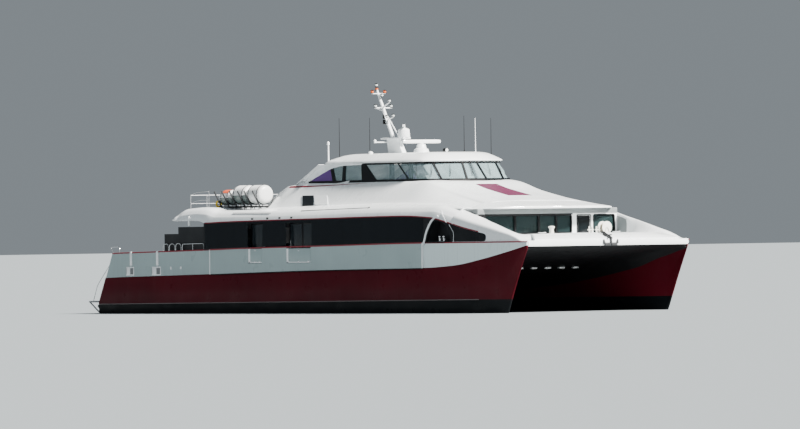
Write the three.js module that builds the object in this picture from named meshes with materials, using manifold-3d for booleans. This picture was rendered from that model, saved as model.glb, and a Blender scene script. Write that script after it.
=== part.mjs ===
// Twin-hulled fast passenger ferry. +X is forward, +Y port, +Z up, and the
// origin is amidships on the centreline at the waterline. The tables and
// shapes are in metres and become millimetres when a piece is added.
import * as THREE from 'three';
import Module from 'manifold-3d';
import { mergeVertices } from 'three/examples/jsm/utils/BufferGeometryUtils.js';

const wasm = await Module();
wasm.setup();

const MM = 1000;

// Driving dimensions
const TRANSOM_X = -18.75;
const BOW_TIP_X = 19.42;
const HALF_BEAM = 5.4;
const DECK_Z = 2.45;
const DECK_PLATE = 0.05;
const BOW_STEP_X = 13.45;
const BOW_TOP_Z = 3.4;
const TRANSOM_RAKE = 0.52;
const RAKE_FOOT_Z = 0.55;
const RAKE_FADE_X = -16.5;
const REBATE = 0.115;
const GAP = 0.0006;
const SIDES = [
  { name: 'starboard', s: -1 },
  { name: 'port', s: 1 },
];

// Helpers

// Smooth value of one column of a table at x (monotone cubic).
function column(rows, key) {
  const xs = rows.map((r) => r.x);
  const ys = rows.map((r) => r[key]);
  const n = xs.length;
  const d = [];
  for (let i = 0; i < n - 1; i++) d.push((ys[i + 1] - ys[i]) / (xs[i + 1] - xs[i]));
  const m = [d[0]];
  for (let i = 1; i < n - 1; i++) {
    m.push(d[i - 1] * d[i] <= 0 ? 0 : (2 * d[i - 1] * d[i]) / (d[i - 1] + d[i]));
  }
  m.push(d[n - 2]);
  return (x) => {
    if (x <= xs[0]) return ys[0];
    if (x >= xs[n - 1]) return ys[n - 1];
    let i = 0;
    while (x > xs[i + 1]) i++;
    const h = xs[i + 1] - xs[i];
    const t = (x - xs[i]) / h;
    const a = 1 + 2 * t;
    return ys[i] * a * (1 - t) ** 2 + h * m[i] * t * (1 - t) ** 2
      + ys[i + 1] * t * t * (3 - 2 * t) + h * m[i + 1] * t * t * (t - 1);
  };
}

const line = (pairs) => column(pairs.map(([x, v]) => ({ x, v })), 'v');

// Indexed geometry from points and triangles, turned outward.
function mesh(points, tris) {
  let volume = 0;
  for (const [a, b, c] of tris) {
    const [p, q, r] = [points[a], points[b], points[c]];
    volume += p[0] * (q[1] * r[2] - q[2] * r[1]) - p[1] * (q[0] * r[2] - q[2] * r[0])
      + p[2] * (q[0] * r[1] - q[1] * r[0]);
  }
  const index = tris.flatMap(([a, b, c]) => (volume < 0 ? [a, c, b] : [a, b, c]));
  const g = new THREE.BufferGeometry();
  g.setAttribute('position', new THREE.Float32BufferAttribute(points.flat(), 3));
  g.setIndex(index);
  return g;
}

// Closed loft through rings of equal length; the ends are capped.
function loft(rings, capPlane = 'yz') {
  const n = rings[0].length;
  const [u, v] = { yz: [1, 2], xy: [0, 1], xz: [0, 2] }[capPlane];
  const tris = [];
  for (let i = 0; i < rings.length - 1; i++) {
    for (let j = 0; j < n; j++) {
      const a = i * n + j;
      const b = i * n + ((j + 1) % n);
      tris.push([a, b, b + n], [a, b + n, a + n]);
    }
  }
  const turn = (ps) => ps.reduce((sum, p, i) => {
    const q = ps[(i + 1) % ps.length];
    return sum + p[u] * q[v] - q[u] * p[v];
  }, 0);
  const cap = (ring, base, along) => {
    const flat = ring.map((p) => new THREE.Vector2(p[u], p[v]));
    for (const [a, b, c] of THREE.ShapeUtils.triangulateShape(flat, [])) {
      const same = turn([ring[a], ring[b], ring[c]]) * turn(ring) > 0;
      tris.push(same === along ? [base + a, base + b, base + c] : [base + a, base + c, base + b]);
    }
  };
  cap(rings[0], 0, false);
  cap(rings[rings.length - 1], (rings.length - 1) * n, true);
  return mesh(rings.flat(), tris);
}

// Solid of a three.js geometry, for cutting and joining.
function solid(geometry) {
  let g = geometry.clone();
  for (const name of Object.keys(g.attributes)) {
    if (name !== 'position') g.deleteAttribute(name);
  }
  g = mergeVertices(g, 1e-6);
  const made = new wasm.Manifold(new wasm.Mesh({
    numProp: 3,
    vertProperties: new Float32Array(g.attributes.position.array),
    triVerts: new Uint32Array(g.index.array),
  }));
  return made;
}

function shape(manifold) {
  const m = manifold.getMesh();
  const g = new THREE.BufferGeometry();
  g.setAttribute('position', new THREE.Float32BufferAttribute(m.vertProperties, 3));
  g.setIndex([...m.triVerts]);
  return g;
}

const block = (x0, x1, y0, y1, z0, z1) => {
  const g = new THREE.BoxGeometry(x1 - x0, y1 - y0, z1 - z0);
  g.translate((x0 + x1) / 2, (y0 + y1) / 2, (z0 + z1) / 2);
  return solid(g);
};

// Round bar between two points.
function bar(a, b, r0, r1 = r0, sides = 12) {
  const p = new THREE.Vector3(...a);
  const q = new THREE.Vector3(...b);
  const along = q.clone().sub(p);
  const g = new THREE.CylinderGeometry(r1, r0, along.length(), sides);
  g.applyQuaternion(new THREE.Quaternion().setFromUnitVectors(
    new THREE.Vector3(0, 1, 0), along.clone().normalize()));
  g.translate(...p.add(q).multiplyScalar(0.5).toArray());
  return solid(g);
}

// Prism of an XZ outline between two Y planes.
function sidePrism(outline, y0, y1) {
  const rings = [y0, y1].map((y) => outline.map(([x, z]) => [x, y, z]));
  return solid(loft(rings, 'xz'));
}

// Prism of an XY outline between two heights.
function deckPrism(outline, z0, z1) {
  const rings = [z0, z1].map((z) => outline.map(([x, y]) => [x, y, z]));
  return solid(loft(rings, 'xy'));
}

// Closed ring at x from its port half, given as [across, up].
const mirrored = (x, half) => [...half.map(([y, z]) => [x, y, z]),
  ...half.slice().reverse().map(([y, z]) => [x, -y, z])];
const biggest = (m) => m.decompose().sort((a, b) => b.volume() - a.volume())[0];
const ordered = (a, b) => (a < b ? [a, b] : [b, a]);

const join = (list) => list.reduce((a, b) => a.add(b));
const stations = (x0, x1, count) => Array.from({ length: count },
  (_, i) => x0 + ((x1 - x0) * i) / (count - 1));

const root = new THREE.Group();
root.name = 'passenger_ferry';

const PAINT = {
  maroon: { color: 0x4a0d18, roughness: 0.35, metalness: 0.0 },
  black: { color: 0x0c0d0f, roughness: 0.5, metalness: 0.0 },
  silver: { color: 0x9aa4a6, roughness: 0.4, metalness: 0.2 },
  white: { color: 0xe9ecec, roughness: 0.35, metalness: 0.0 },
  glass: { color: 0x10171a, roughness: 0.06, metalness: 0.0 },
  deck: { color: 0x7d7f80, roughness: 0.8, metalness: 0.0 },
  seat: { color: 0x26364f, roughness: 0.85, metalness: 0.0 },
  steel: { color: 0x9ba0a3, roughness: 0.35, metalness: 0.8 },
};

function add(name, manifold, paint) {
  const g = shape(manifold);
  g.scale(MM, MM, MM);
  g.computeVertexNormals();
  const one = new THREE.Mesh(g, new THREE.MeshStandardMaterial(PAINT[paint]));
  one.name = name;
  root.add(one);
}

// Lines of the boat

// Deck-edge line, lower edge of the side plating, top of the window band.
const stripeZ = line([[TRANSOM_X, 3.2], [-16.5, 3.22], [-7.9, 3.34], [-4.3, 3.40],
  [2.9, 3.47], [11, 3.55], [BOW_TIP_X, 3.55]]);
const bandZ = line([[TRANSOM_X, 1.92], [-7.9, 2.08], [2.84, 2.25], [10.96, 2.31],
  [13.53, 2.42], [15.77, 2.72], [17.87, 3.09], [BOW_TIP_X, 3.40]]);
const windowZ = line([[-11.75, 4.96], [-11.2, 4.9], [-9, 4.87], [-8.4, 4.75], [-6.5, 4.79],
  [-4.15, 4.82], [2.14, 4.88], [9.13, 4.93], [11.43, 4.84], [12.94, 4.58], [14.37, 4.28],
  [15.81, 4.04], [16.3, 3.95]]);
const shoulderZ = line([[-11.75, 5.1], [-11.35, 5.36], [-10.8, 5.5], [-9, 5.58], [-8.4, 5.54],
  [-7.6, 5.38], [0, 5.4], [8, 5.48], [11.6, 5.48], [12.74, 5.28], [13.66, 5.05], [14.47, 4.85],
  [15.4, 4.64], [16.3, 4.43], [17.1, 4.22], [17.95, 4.0], [18.45, 3.82], [18.95, 3.62],
  [BOW_TIP_X, 3.58]]);
const houseY = line([[-11.75, 5.24], [-8.4, 5.39], [9, 5.39], [11.2, 5.35], [13.4, 5.3],
  [15, 5.27], [17, 5.19], [BOW_TIP_X, 5.09]]);
const skinY = line([[TRANSOM_X, 5.2], [-14, 5.3], [10, 5.3], [14, 5.28], [17, 5.2],
  [BOW_TIP_X, 5.1]]);

// One hull, as half-breadths from the centreline.
const HULL = [
  { x: TRANSOM_X, keelZ: -0.5, keelY: 4.12, inY: 2.95, topInY: 2.95 },
  { x: -16, keelZ: -0.8, keelY: 4.12, inY: 2.9, topInY: 2.9 },
  { x: -10, keelZ: -1.25, keelY: 4.12, inY: 2.86, topInY: 2.86 },
  { x: -4, keelZ: -1.4, keelY: 4.12, inY: 2.86, topInY: 2.86 },
  { x: 4, keelZ: -1.42, keelY: 4.15, inY: 2.95, topInY: 2.95 },
  { x: 8, keelZ: -1.4, keelY: 4.25, inY: 3.2, topInY: 3.1 },
  { x: 11, keelZ: -1.36, keelY: 4.42, inY: 3.6, topInY: 3.35 },
  { x: 14, keelZ: -1.28, keelY: 4.68, inY: 4.16, topInY: 3.75 },
  { x: 16, keelZ: -1.1, keelY: 4.88, inY: 4.6, topInY: 4.2 },
  { x: 17, keelZ: -0.75, keelY: 4.97, inY: 4.82, topInY: 4.45 },
  { x: 17.6, keelZ: -0.15, keelY: 5.02, inY: 4.94, topInY: 4.62 },
  { x: 18.0, keelZ: 0.6, keelY: 5.04, inY: 5.0, topInY: 4.72 },
  { x: 18.45, keelZ: 1.5, keelY: 5.05, inY: 5.02, topInY: 4.8 },
  { x: 18.95, keelZ: 2.45, keelY: 5.06, inY: 5.03, topInY: 4.88 },
  { x: 19.36, keelZ: 3.2, keelY: 5.06, inY: 5.03, topInY: 4.95 },
];

const hullAt = {};
for (const key of ['keelZ', 'keelY', 'inY', 'topInY']) hullAt[key] = column(HULL, key);

// Ring of one hull at x, as [across, up] from the inboard deck edge round the keel.
function hullRing(x, grow = 0) {
  const kz = hullAt.keelZ(x);
  const ky = hullAt.keelY(x);
  const iny = hullAt.inY(x);
  const outy = skinY(x);
  const top = BOW_TOP_Z;
  const chine = Math.max(0.15, kz + 0.12 * (top - kz));
  const h = chine - kz;
  const bo = outy - 0.03 - ky;
  const bi = ky - iny;
  const band = Math.min(Math.max(bandZ(x), kz + 0.6 * (top - kz)), top - 0.01);
  const mid = chine + 0.45 * (band - chine);
  const lip = Math.min(REBATE, outy - hullAt.topInY(x) - 0.02);
  return [
    [hullAt.topInY(x), top],
    [iny + (hullAt.topInY(x) - iny) * 0.55, mid + 0.55 * (top - mid)],
    [iny, mid],
    [iny + 0.01, chine],
    [ky - bi * 0.88, kz + h * 0.42],
    [ky - bi * 0.5, kz + h * 0.13],
    [ky - 0.05, kz],
    [ky + 0.05, kz],
    [ky + bo * 0.5, kz + h * 0.13],
    [ky + bo * 0.88, kz + h * 0.42],
    [outy - 0.03, chine],
    [outy, mid],
    [outy, band],
    [outy - lip, band],
    [outy - lip, top],
  ].map(([y, z], i) => [y + (i < 7 ? -grow : grow), z + (i === 0 || i > 11 ? grow : -grow)]);
}

const rakeOf = (x, z) => (x > RAKE_FADE_X ? 0
  : TRANSOM_RAKE * Math.max(0, z - RAKE_FOOT_Z)
    * Math.min(1, (RAKE_FADE_X - x) / (RAKE_FADE_X - TRANSOM_X)));

const HULL_X = [TRANSOM_X, -17.6, -16.4, -13, -10, -6, -2, 2, 6, 9, 11, 12.5, 13.5, 14.5, 15.5, 16.3,
  17, 17.6, 18, 18.45, 18.95, 19.36];
const abovedeck = (grow) => block(-20, BOW_STEP_X - grow, -6, 6, DECK_Z + grow, 4);

const hullSolid = (s, grow) => solid(loft(HULL_X.map(
  (x) => hullRing(x, grow).map(([y, z]) => [x + rakeOf(x, z), s * y, z]))))
  .subtract(abovedeck(grow));

for (const { name, s } of SIDES) add(`hull_${name}`, hullSolid(s, 0), 'maroon');

// Bridging structure between the hulls, with the arched tunnel roof under it.
const tunnelZ = line([[TRANSOM_X, 1.45], [-10, 1.5], [6, 1.58], [10, 1.8], [13, 2.2], [15, 2.58],
  [17, 2.92], [BOW_TIP_X, 3.3]]);
const haunchZ = line([[TRANSOM_X, 0.95], [-10, 1.0], [6, 1.05], [10, 1.3], [13, 1.65],
  [15.1, 1.95], [16.2, 2.15], [17.6, 2.6], [BOW_TIP_X, 3.24]]);
const CROSS_X = [-17.6, -16.4, -13, -10, -6, -2, 2, 6, 9, 11, 12.5, 13.5, 14.5, 15.5, 16.3,
  17, 17.6, 18, 18.45, 18.95, 19.3];
{
  const rings = CROSS_X.map((x) => {
    const top = BOW_TOP_Z;
    const hz = Math.min(haunchZ(x), top - 0.1);
    const tz = Math.min(tunnelZ(x), top - 0.05);
    const w = (hullAt.inY(x) + skinY(x)) / 2;
    const wall = hullAt.inY(x);
    const half = [[w, top], [w, hz - 0.1], [wall - 0.12, hz], [wall - 0.45, hz + (tz - hz) * 0.6],
      [wall - 1.0, tz]];
    return mirrored(x, half);
  });
  let bridge = solid(loft(rings)).subtract(abovedeck(0));
  for (const { s } of SIDES) bridge = bridge.subtract(hullSolid(s, 0.002));
  add('cross_deck', biggest(bridge), 'black');
}

// Decks and side plating

const SPONSON = { x0: -7.9, x1: 10.96, out: HALF_BEAM };
const GATES = [
  { name: 'aft', x0: -4.36, x1: -3.16 },
  { name: 'forward', x0: -0.91, x1: 1.24 },
];
const GATE = { z0: 2.62, z1: 3.36, thick: 0.06, gap: 0.012 };

// Side plating: the light band from the hull's edge to the deck-edge line.
function plating(s, grow = 0) {
  const xs = [TRANSOM_X + 0.1, -17.6, -16, -13, -10, SPONSON.x0 - 0.001, SPONSON.x0, -4, 0, 4, 8,
    SPONSON.x1, SPONSON.x1 + 0.001, 12.2, 13.5, 14.8, 16, 17, 18, 18.8, 19.26];
  const rings = xs.map((x) => {
    const proud = x >= SPONSON.x0 && x <= SPONSON.x1;
    const out = proud ? SPONSON.out : skinY(x) + 0.012;
    const inner = skinY(x) - REBATE - 0.03;
    const z0 = bandZ(x) - 0.02;
    const z1 = stripeZ(x) - 0.014;
    return [[out + grow, z0], [out + grow, z1 + grow], [inner - grow, z1 + grow],
      [inner - grow, z0]]
      .map(([y, z]) => [x + rakeOf(x, z), s * y, z]);
  });
  let body = solid(loft(rings)).subtract(hullSolid(s, 0.002));
  for (const g of GATES) {
    body = body.subtract(block(g.x0 - GATE.gap, g.x1 + GATE.gap, ...ordered(s * 5.1, s * 5.6),
      GATE.z0 - GATE.gap, 3.7));
  }
  return biggest(body);
}

for (const { name, s } of SIDES) {
  add(`side_plating_${name}`, plating(s), 'silver');
  for (const g of GATES) {
    const y0 = s > 0 ? SPONSON.out - GATE.thick : -SPONSON.out;
    add(`gate_${g.name}_${name}`,
      block(g.x0, g.x1, y0, y0 + GATE.thick, GATE.z0, GATE.z1), 'silver');
  }
}

// Main deck plate over both hulls and the bridge.
{
  const xs = [-17.7, -16.4, -13, 10, BOW_STEP_X - 0.03];
  const edge = (x) => skinY(x) - REBATE - 0.06;
  const outline = [...xs.map((x) => [x, edge(x)]),
    ...xs.slice().reverse().map((x) => [x, -edge(x)])];
  add('main_deck', deckPrism(outline, DECK_Z + GAP, DECK_Z + DECK_PLATE), 'deck');
}

// Upper works

// Half section of the superstructure at x, [across, up] from the stripe to the ridge.
const HOUSE = [
  { x: -11.75, sillY: 2.6, sillZ: 5.26, footY: 3.6, footZ: 5.22 },
  { x: -10.8, sillY: 2.6, sillZ: 5.56, footY: 3.65, footZ: 5.52 },
  { x: -8.6, sillY: 2.7, sillZ: 5.6, footY: 3.75, footZ: 5.56 },
  { x: -7.6, sillY: 2.7, sillZ: 5.5, footY: 3.4, footZ: 5.46 },
  { x: -6.75, sillY: 2.6, sillZ: 5.5, footY: 2.9, footZ: 5.46 },
  { x: -6, sillY: 2.6, sillZ: 6.06, footY: 2.9, footZ: 5.46 },
  { x: -5.25, sillY: 2.7, sillZ: 6.33, footY: 2.91, footZ: 5.45 },
  { x: -4.6, sillY: 2.9, sillZ: 6.5, footY: 3.95, footZ: 5.47 },
  { x: -3.95, sillY: 3.0, sillZ: 6.64, footY: 3.95, footZ: 5.49 },
  { x: -3.1, sillY: 2.98, sillZ: 6.68, footY: 3.95, footZ: 5.5 },
  { x: -2.0, sillY: 2.95, sillZ: 6.7, footY: 3.92, footZ: 5.52 },
  { x: 4.0, sillY: 2.95, sillZ: 6.74, footY: 3.95, footZ: 5.6 },
  { x: 7.7, sillY: 2.95, sillZ: 6.72, footY: 4.05, footZ: 5.62 },
  { x: 10.2, sillY: 3.0, sillZ: 6.16, footY: 4.2, footZ: 5.55 },
  { x: 12.2, sillY: 3.1, sillZ: 5.76, footY: 4.35, footZ: 5.46 },
  { x: 13.4, sillY: 3.2, sillZ: 5.56, footY: 4.35, footZ: 5.36 },
];
const houseAt = {};
for (const key of ['sillY', 'sillZ', 'footY', 'footZ']) houseAt[key] = column(HOUSE, key);

const CAMBER = 0.09;
function houseRing(x, inset, floor) {
  const zs = stripeZ(x) + 0.001;
  const zw = windowZ(x);
  const sh = shoulderZ(x);
  const turn = Math.min(sh - 0.2, Math.max(zw + 0.16, sh - 0.36));
  const oy = houseY(x);
  const half = [
    [oy, zs],
    [oy - 0.04, zw],
    [oy - 0.12, turn],
    [oy - 0.34, sh - 0.12],
    [4.72, sh],
    [houseAt.footY(x), houseAt.footZ(x)],
    [houseAt.sillY(x) + 0.12, houseAt.sillZ(x) - 0.16],
    [houseAt.sillY(x) - 0.2, houseAt.sillZ(x)],
    [0.9, houseAt.sillZ(x) + CAMBER],
  ].map(([y, z], i) => [y - inset * (i < 4 ? 1 : 0.75), z - inset * (i < 3 ? 0 : 1)]);
  half[0][1] = floor === undefined ? half[0][1] : floor;
  return mirrored(x, half);
}

const HOUSE_X = [-11.65, -11.35, -10.8, -9, -8.4, -7.6, -6.75, -6, -5.25, -4.6, -3.95, -3.1, -2, 0, 2,
  4, 6, 7.7, 9, 10.2, 11.2, 12.2, 13.4];
const CABIN_FLOOR_CUT_Z = 3.2;
const WALL = 0.08;
const AFT_WALL_X = -8.5;
const outer = solid(loft(HOUSE_X.map((x) => houseRing(x, 0))));
const INNER_X = [HOUSE_X[0] - 0.3, ...HOUSE_X.slice(1, -1), HOUSE_X[HOUSE_X.length - 1] + 0.3];
const inner = solid(loft(INNER_X.map((x) => houseRing(x, WALL, CABIN_FLOOR_CUT_Z))));
const house = outer.subtract(inner);
const houseSkin = solid(loft(HOUSE_X.map((x, i) => houseRing(x + (i ? 0.003 : -0.003), -0.004))))
  .subtract(solid(loft(INNER_X.map((x) => houseRing(x, WALL + 0.003, CABIN_FLOOR_CUT_Z)))));

// Split of the house at the window-band top: dark side walls below, white roof above.
const splitRing = (x, lift) => {
  const z = windowZ(x) + lift;
  return [[x, -6, 3.0], [x, 6, 3.0], [x, 6, z], [x, -6, z]];
};
const SPLIT_X = [-13, ...HOUSE_X, 14];
const below = (lift) => solid(loft(SPLIT_X.map((x) => splitRing(x, lift))));
const lowerHouse = house.intersect(below(-0.0004));
const upperHouse = house.subtract(below(0.0004));

// Long window opening in each side wall, and the round-ended mooring opening forward of it.
const WINDOW = { x0: -8.2, x1: 10.9, sill: 0.1, head: 0.09 };
const MOORING = [[11.25, 0.06], [13.3, 0.06], [13.2, 0.45], [12.95, 0.8], [12.5, 1.04],
  [12.05, 1.13], [11.75, 1.0], [11.45, 0.6]];
function windowOutline(grow, x0 = WINDOW.x0, x1 = WINDOW.x1) {
  const xs = [x0 - grow, ...stations(-7, 9.5, 7), x1 + grow];
  return [...xs.map((x) => [x, stripeZ(x) + WINDOW.sill - grow]),
    ...xs.slice().reverse().map((x) => [x, windowZ(x) - WINDOW.head + grow])];
}
const DOORS = [
  { name: 'aft', x0: -4.36, x1: -3.16, slide: -1 },
  { name: 'forward', x0: -0.91, x1: 1.24, slide: 1 },
];
const DOOR = { z0: 2.53, z1: 4.68, overlap: 0.06, y: 5.09, thick: 0.045, head: 4.62 };

for (const { name, s } of SIDES) {
  const ys = ordered(s * 4.9, s * 5.6);
  let wall = lowerHouse.intersect(block(-13, 14, ...ordered(0, s * 6), 2, 6));
  wall = wall.subtract(sidePrism(windowOutline(0), ys[0], ys[1]));
  wall = wall.subtract(sidePrism(MOORING.map(([x, z]) => [x, stripeZ(x) + z]), ys[0], ys[1]));
  for (const d of DOORS) {
    wall = wall.subtract(block(d.x0, d.x1, ys[0], ys[1], 2.4, DOOR.head));
  }
  wall = wall.intersect(block(AFT_WALL_X, 14, -6, 6, 2, 6));
  add(`saloon_side_${name}`, biggest(wall), 'black');
}

// Dark side glazing, flush in the window opening, notched over the doorways.
for (const { name, s } of SIDES) {
  let pane = sidePrism(windowOutline(-0.008), ...ordered(s * 5.315, s * 5.37));
  for (const d of DOORS) {
    pane = pane.subtract(block(d.x0 - 0.01, d.x1 + 0.01, -6, 6, 2.4, DOOR.head + 0.01));
  }
  add(`saloon_glazing_${name}`, pane, 'glass');
}

// Sliding passenger doors, inboard of the side wall.
for (const { name, s } of SIDES) {
  for (const d of DOORS) {
    const y0 = s > 0 ? DOOR.y : -DOOR.y - DOOR.thick;
    add(`door_${d.name}_${name}`, block(d.x0 - DOOR.overlap, d.x1 + DOOR.overlap,
      y0, y0 + DOOR.thick, DOOR.z0, DOOR.z1), 'glass');
  }
}

// White roof: shoulders, side decks, raised bonnet and the canopy over the foredeck.
const CEILING = { z0: 4.92, z1: 4.97 };
const RECESS_Y = 4.43;
const CANOPY = [[13.3, RECESS_Y], [13.75, RECESS_Y], [14.35, 4.12], [15, 3.51], [15.4, 1.87],
  [15.8, 0]];
const CANOPY_TOP = [
  { x: 13.36, z: 5.57 },
  { x: 14.4, z: 5.42 },
  { x: 15.4, z: 5.31 },
  { x: 15.95, z: 5.26 },
];
const CANOPY_UNDER = 5.215;
const WELL = [[-1.6, -2.5], [6.4, -2.55], [7.2, -1.6], [7.4, 0], [7.2, 1.6], [6.4, 2.55], [-1.6, 2.5]];
{
  const rings = CANOPY_TOP.map(({ x, z }) => {
    const side = Math.max(CANOPY_UNDER + 0.03, Math.min(5.3, shoulderZ(x) + 0.02));
    return mirrored(x, [[RECESS_Y, CANOPY_UNDER], [RECESS_Y, side], [3.1, z], [0.9, z + 0.07]]);
  });
  const plan = [...CANOPY.map(([x, y]) => [x, -y]), ...CANOPY.slice(0, -1).reverse()];
  const canopy = solid(loft(rings)).intersect(deckPrism(plan, 5.0, 6.0));
  const ceiling = inner.intersect(block(-8.3, 13.38, -5.1, 5.1, CEILING.z0, CEILING.z1))
    .subtract(block(-0.95, 0.95, -0.65, 0.65, 4, 6));
  const roof = join([upperHouse.subtract(deckPrism(WELL, 5.8, 7.2)), canopy, ceiling]);
  add('upper_shell', biggest(roof), 'white');
}

// Shoulders: the raised sides that run from the saloon down to the bow tips. Inside,
// a wall beside the recess turns into a hollow slope down to the foredeck.
const crestY = line([[13.4, 4.72], [16, 4.68], [18, 4.8], [BOW_TIP_X, 4.99]]);
const crestInY = line([[13.4, 4.45], [15, 4.45], [15.8, 4.58], [18, 4.7], [BOW_TIP_X, 4.93]]);
const footY = line([[13.4, RECESS_Y], [15, RECESS_Y], [15.5, 4.1], [16.2, 3.85], [17.2, 3.8],
  [18.2, 4], [BOW_TIP_X, 4.64]]);
const foredeckZ = line([[14.4, 3.5], [16.5, 3.76], [17.6, 3.92], [18.3, 3.93], [18.9, 3.82],
  [BOW_TIP_X, 3.62]]);
const SHOULDER_X = [13.41, 14.1, 14.7, 15.1, 15.5, 16, 16.6, 17.2, 17.7, 18.3, 18.9, 19.4];
for (const { name, s } of SIDES) {
  const rings = SHOULDER_X.map((x) => {
    const oy = houseY(x);
    const zs = stripeZ(x) + 0.001;
    const sh = Math.max(shoulderZ(x), zs + 0.04);
    const rise = sh - zs;
    const turn = zs + rise * 0.82;
    const seat = skinY(x) - REBATE - 0.05;
    const w = oy - crestY(x);
    const foot = footY(x);
    const footZ = Math.min(foredeckZ(x), sh) - 0.03;
    return [[oy, zs], [oy - w * 0.07, zs + rise * 0.55], [oy - w * 0.2, turn],
      [oy - w * 0.55, zs + rise * 0.94], [crestY(x), sh],
      [crestInY(x), sh - 0.03 * Math.min(1, rise)],
      [foot + (crestInY(x) - foot) * 0.6, footZ + (sh - footZ) * 0.3], [foot, footZ],
      [foot, BOW_TOP_Z + 0.012], [seat, BOW_TOP_Z + 0.012],
      [seat + 0.002, zs]].map(([y, z]) => [x, s * y, z]);
  });
  // the recess behind the mooring opening, with its pair of bollards
  const sill = stripeZ(12) + 0.006;
  let box = block(11.15, 13.5, ...ordered(s * 4.43, s * 5.2), sill, 4.75)
    .subtract(block(11.2, 13.3, ...ordered(s * 4.48, s * 5.4), sill + 0.05, 4.7));
  for (const x of [12.2, 12.55]) {
    box = box.add(bar([x, s * 4.85, sill + 0.02], [x, s * 4.85, sill + 0.42], 0.08));
  }
  box = biggest(box.subtract(houseSkin).subtract(plating(s, 0.004)));
  add(`shoulder_${name}`, biggest(box.add(solid(loft(rings)))), 'white');
}

// Foredeck with its turned-down lip across the bow.
const FOREDECK_X = [14.42, 14.9, 15.2, 15.5, 16, 16.6, 17.2, 17.7, 18.3, 18.9, 19.2, 19.3];
const LIP = { x: 19.305, half: 4.56, z0: 3.31, z1: 3.6 };
{
  const rings = FOREDECK_X.map((x) => {
    const w = footY(x) - 0.02;
    const z = foredeckZ(x);
    return mirrored(x, [[w, BOW_TOP_Z + 0.004], [w, z - 0.05], [w - 0.08, z], [0.8, z + 0.03]]);
  });
  const lip = block(LIP.x, BOW_TIP_X, -LIP.half, LIP.half, LIP.z0, LIP.z1);
  const link = block(LIP.x - 0.15, BOW_TIP_X, -4.4, 4.4, 3.42, 3.58);
  add('foredeck', join([solid(loft(rings)), lip, link]), 'white');
}

// Front bulkhead under the canopy: window openings, a doorway and a fixed light beside it.
const FRONT = { x: 14.32, thick: 0.07, half: 4.42, z0: 3.42, z1: CANOPY_UNDER - 0.004 };
const FRONT_PANES = [
  { y0: -3.95, y1: -2.1 },
  { y0: -2.03, y1: -0.6 },
  { y0: -0.53, y1: 0.5 },
  { y0: 0.57, y1: 1.5 },
  { y0: 2.92, y1: 4.25 },
];
const FRONT_DOOR = { y0: 1.88, y1: 2.7, z0: 3.68, z1: 4.84 };
{
  let wall = block(FRONT.x, FRONT.x + FRONT.thick, -FRONT.half, FRONT.half, FRONT.z0, FRONT.z1);
  for (const w of FRONT_PANES) wall = wall.subtract(block(14, 15, w.y0, w.y1, 3.98, 4.86));
  wall = wall.subtract(block(14, 15, FRONT_DOOR.y0, FRONT_DOOR.y1, FRONT_DOOR.z0, FRONT_DOOR.z1));
  // side walls above the shoulders, back to the house
  for (const { s } of SIDES) {
    wall = wall.add(block(13.42, FRONT.x + 0.01, ...ordered(s * 4.36, s * FRONT.half), 4.6, FRONT.z1));
  }
  add('front_bulkhead', wall, 'white');
  const glass = block(FRONT.x - 0.025, FRONT.x - 0.005, -4.3, 4.3, 3.9, 4.94)
    .subtract(block(14, 15, 1.7, 2.8, 3.5, 4.88));
  add('front_glazing', glass, 'glass');
  const leaf = 0.01;
  add('foredeck_door', block(FRONT.x + 0.025, FRONT.x + 0.065, FRONT_DOOR.y0 + leaf,
    FRONT_DOOR.y1 - leaf, FRONT_DOOR.z0 + leaf, FRONT_DOOR.z1 - leaf), 'glass');
}

// Aft bulkhead with a central doorway closed by a sliding door.
const AFT = { x: -8.42, thick: 0.06 };
{
  let wall = block(AFT.x, AFT.x + AFT.thick, -4.8, 4.8, 2.51, 4.9);
  wall = wall.subtract(block(-9, -8, -0.6, 0.6, 2.4, 4.5));
  for (const { s } of SIDES) {
    wall = wall.subtract(block(-9, -8, ...ordered(s * 2.2, s * 3.6), 3.4, 4.4));
  }
  add('aft_bulkhead', wall, 'white');
  add('aft_door', block(AFT.x - 0.055, AFT.x - 0.01, -0.66, 0.66, 2.53, 4.56), 'glass');
}

// Stair casings on the aft deck, stepped up under the roof.
for (const { name, s } of SIDES) {
  const foot = DECK_Z + DECK_PLATE + 0.005;
  const steps = [[-12.5, foot], [-8.6, foot], [-8.6, 4.56], [-11.2, 4.56], [-11.2, 4.2],
    [-12.5, 4.2]];
  add(`stair_casing_${name}`, sidePrism(steps, ...ordered(s * 4.25, s * 5.12)), 'black');
}

// Passenger seats: rows on a low plinth, in three blocks with two aisles.
const SEATS = {
  firstX: -6.9,
  pitch: 0.92,
  rows: 17,
  plinth: 0.06,
  deep: 0.46,
  base: 0.42,
  back: 1.12,
  backThick: 0.1,
};
const SEAT_BLOCKS = [
  { y0: -4.2, y1: -2.1 },
  { y0: -1.5, y1: 1.5 },
  { y0: 2.1, y1: 4.2 },
];
{
  const z = DECK_Z + DECK_PLATE + GAP;
  const parts = [block(-7.3, 8.9, -4.3, 4.3, z, z + SEATS.plinth)];
  for (let i = 0; i < SEATS.rows; i++) {
    const x = SEATS.firstX + i * SEATS.pitch;
    for (const b of SEAT_BLOCKS) {
      parts.push(block(x, x + SEATS.deep, b.y0, b.y1, z + 0.02, z + SEATS.base));
      parts.push(block(x - SEATS.backThick, x + 0.02, b.y0, b.y1, z + 0.02, z + SEATS.back));
    }
  }
  add('saloon_seating', join(parts), 'seat');
}

// Wheelhouse

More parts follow.
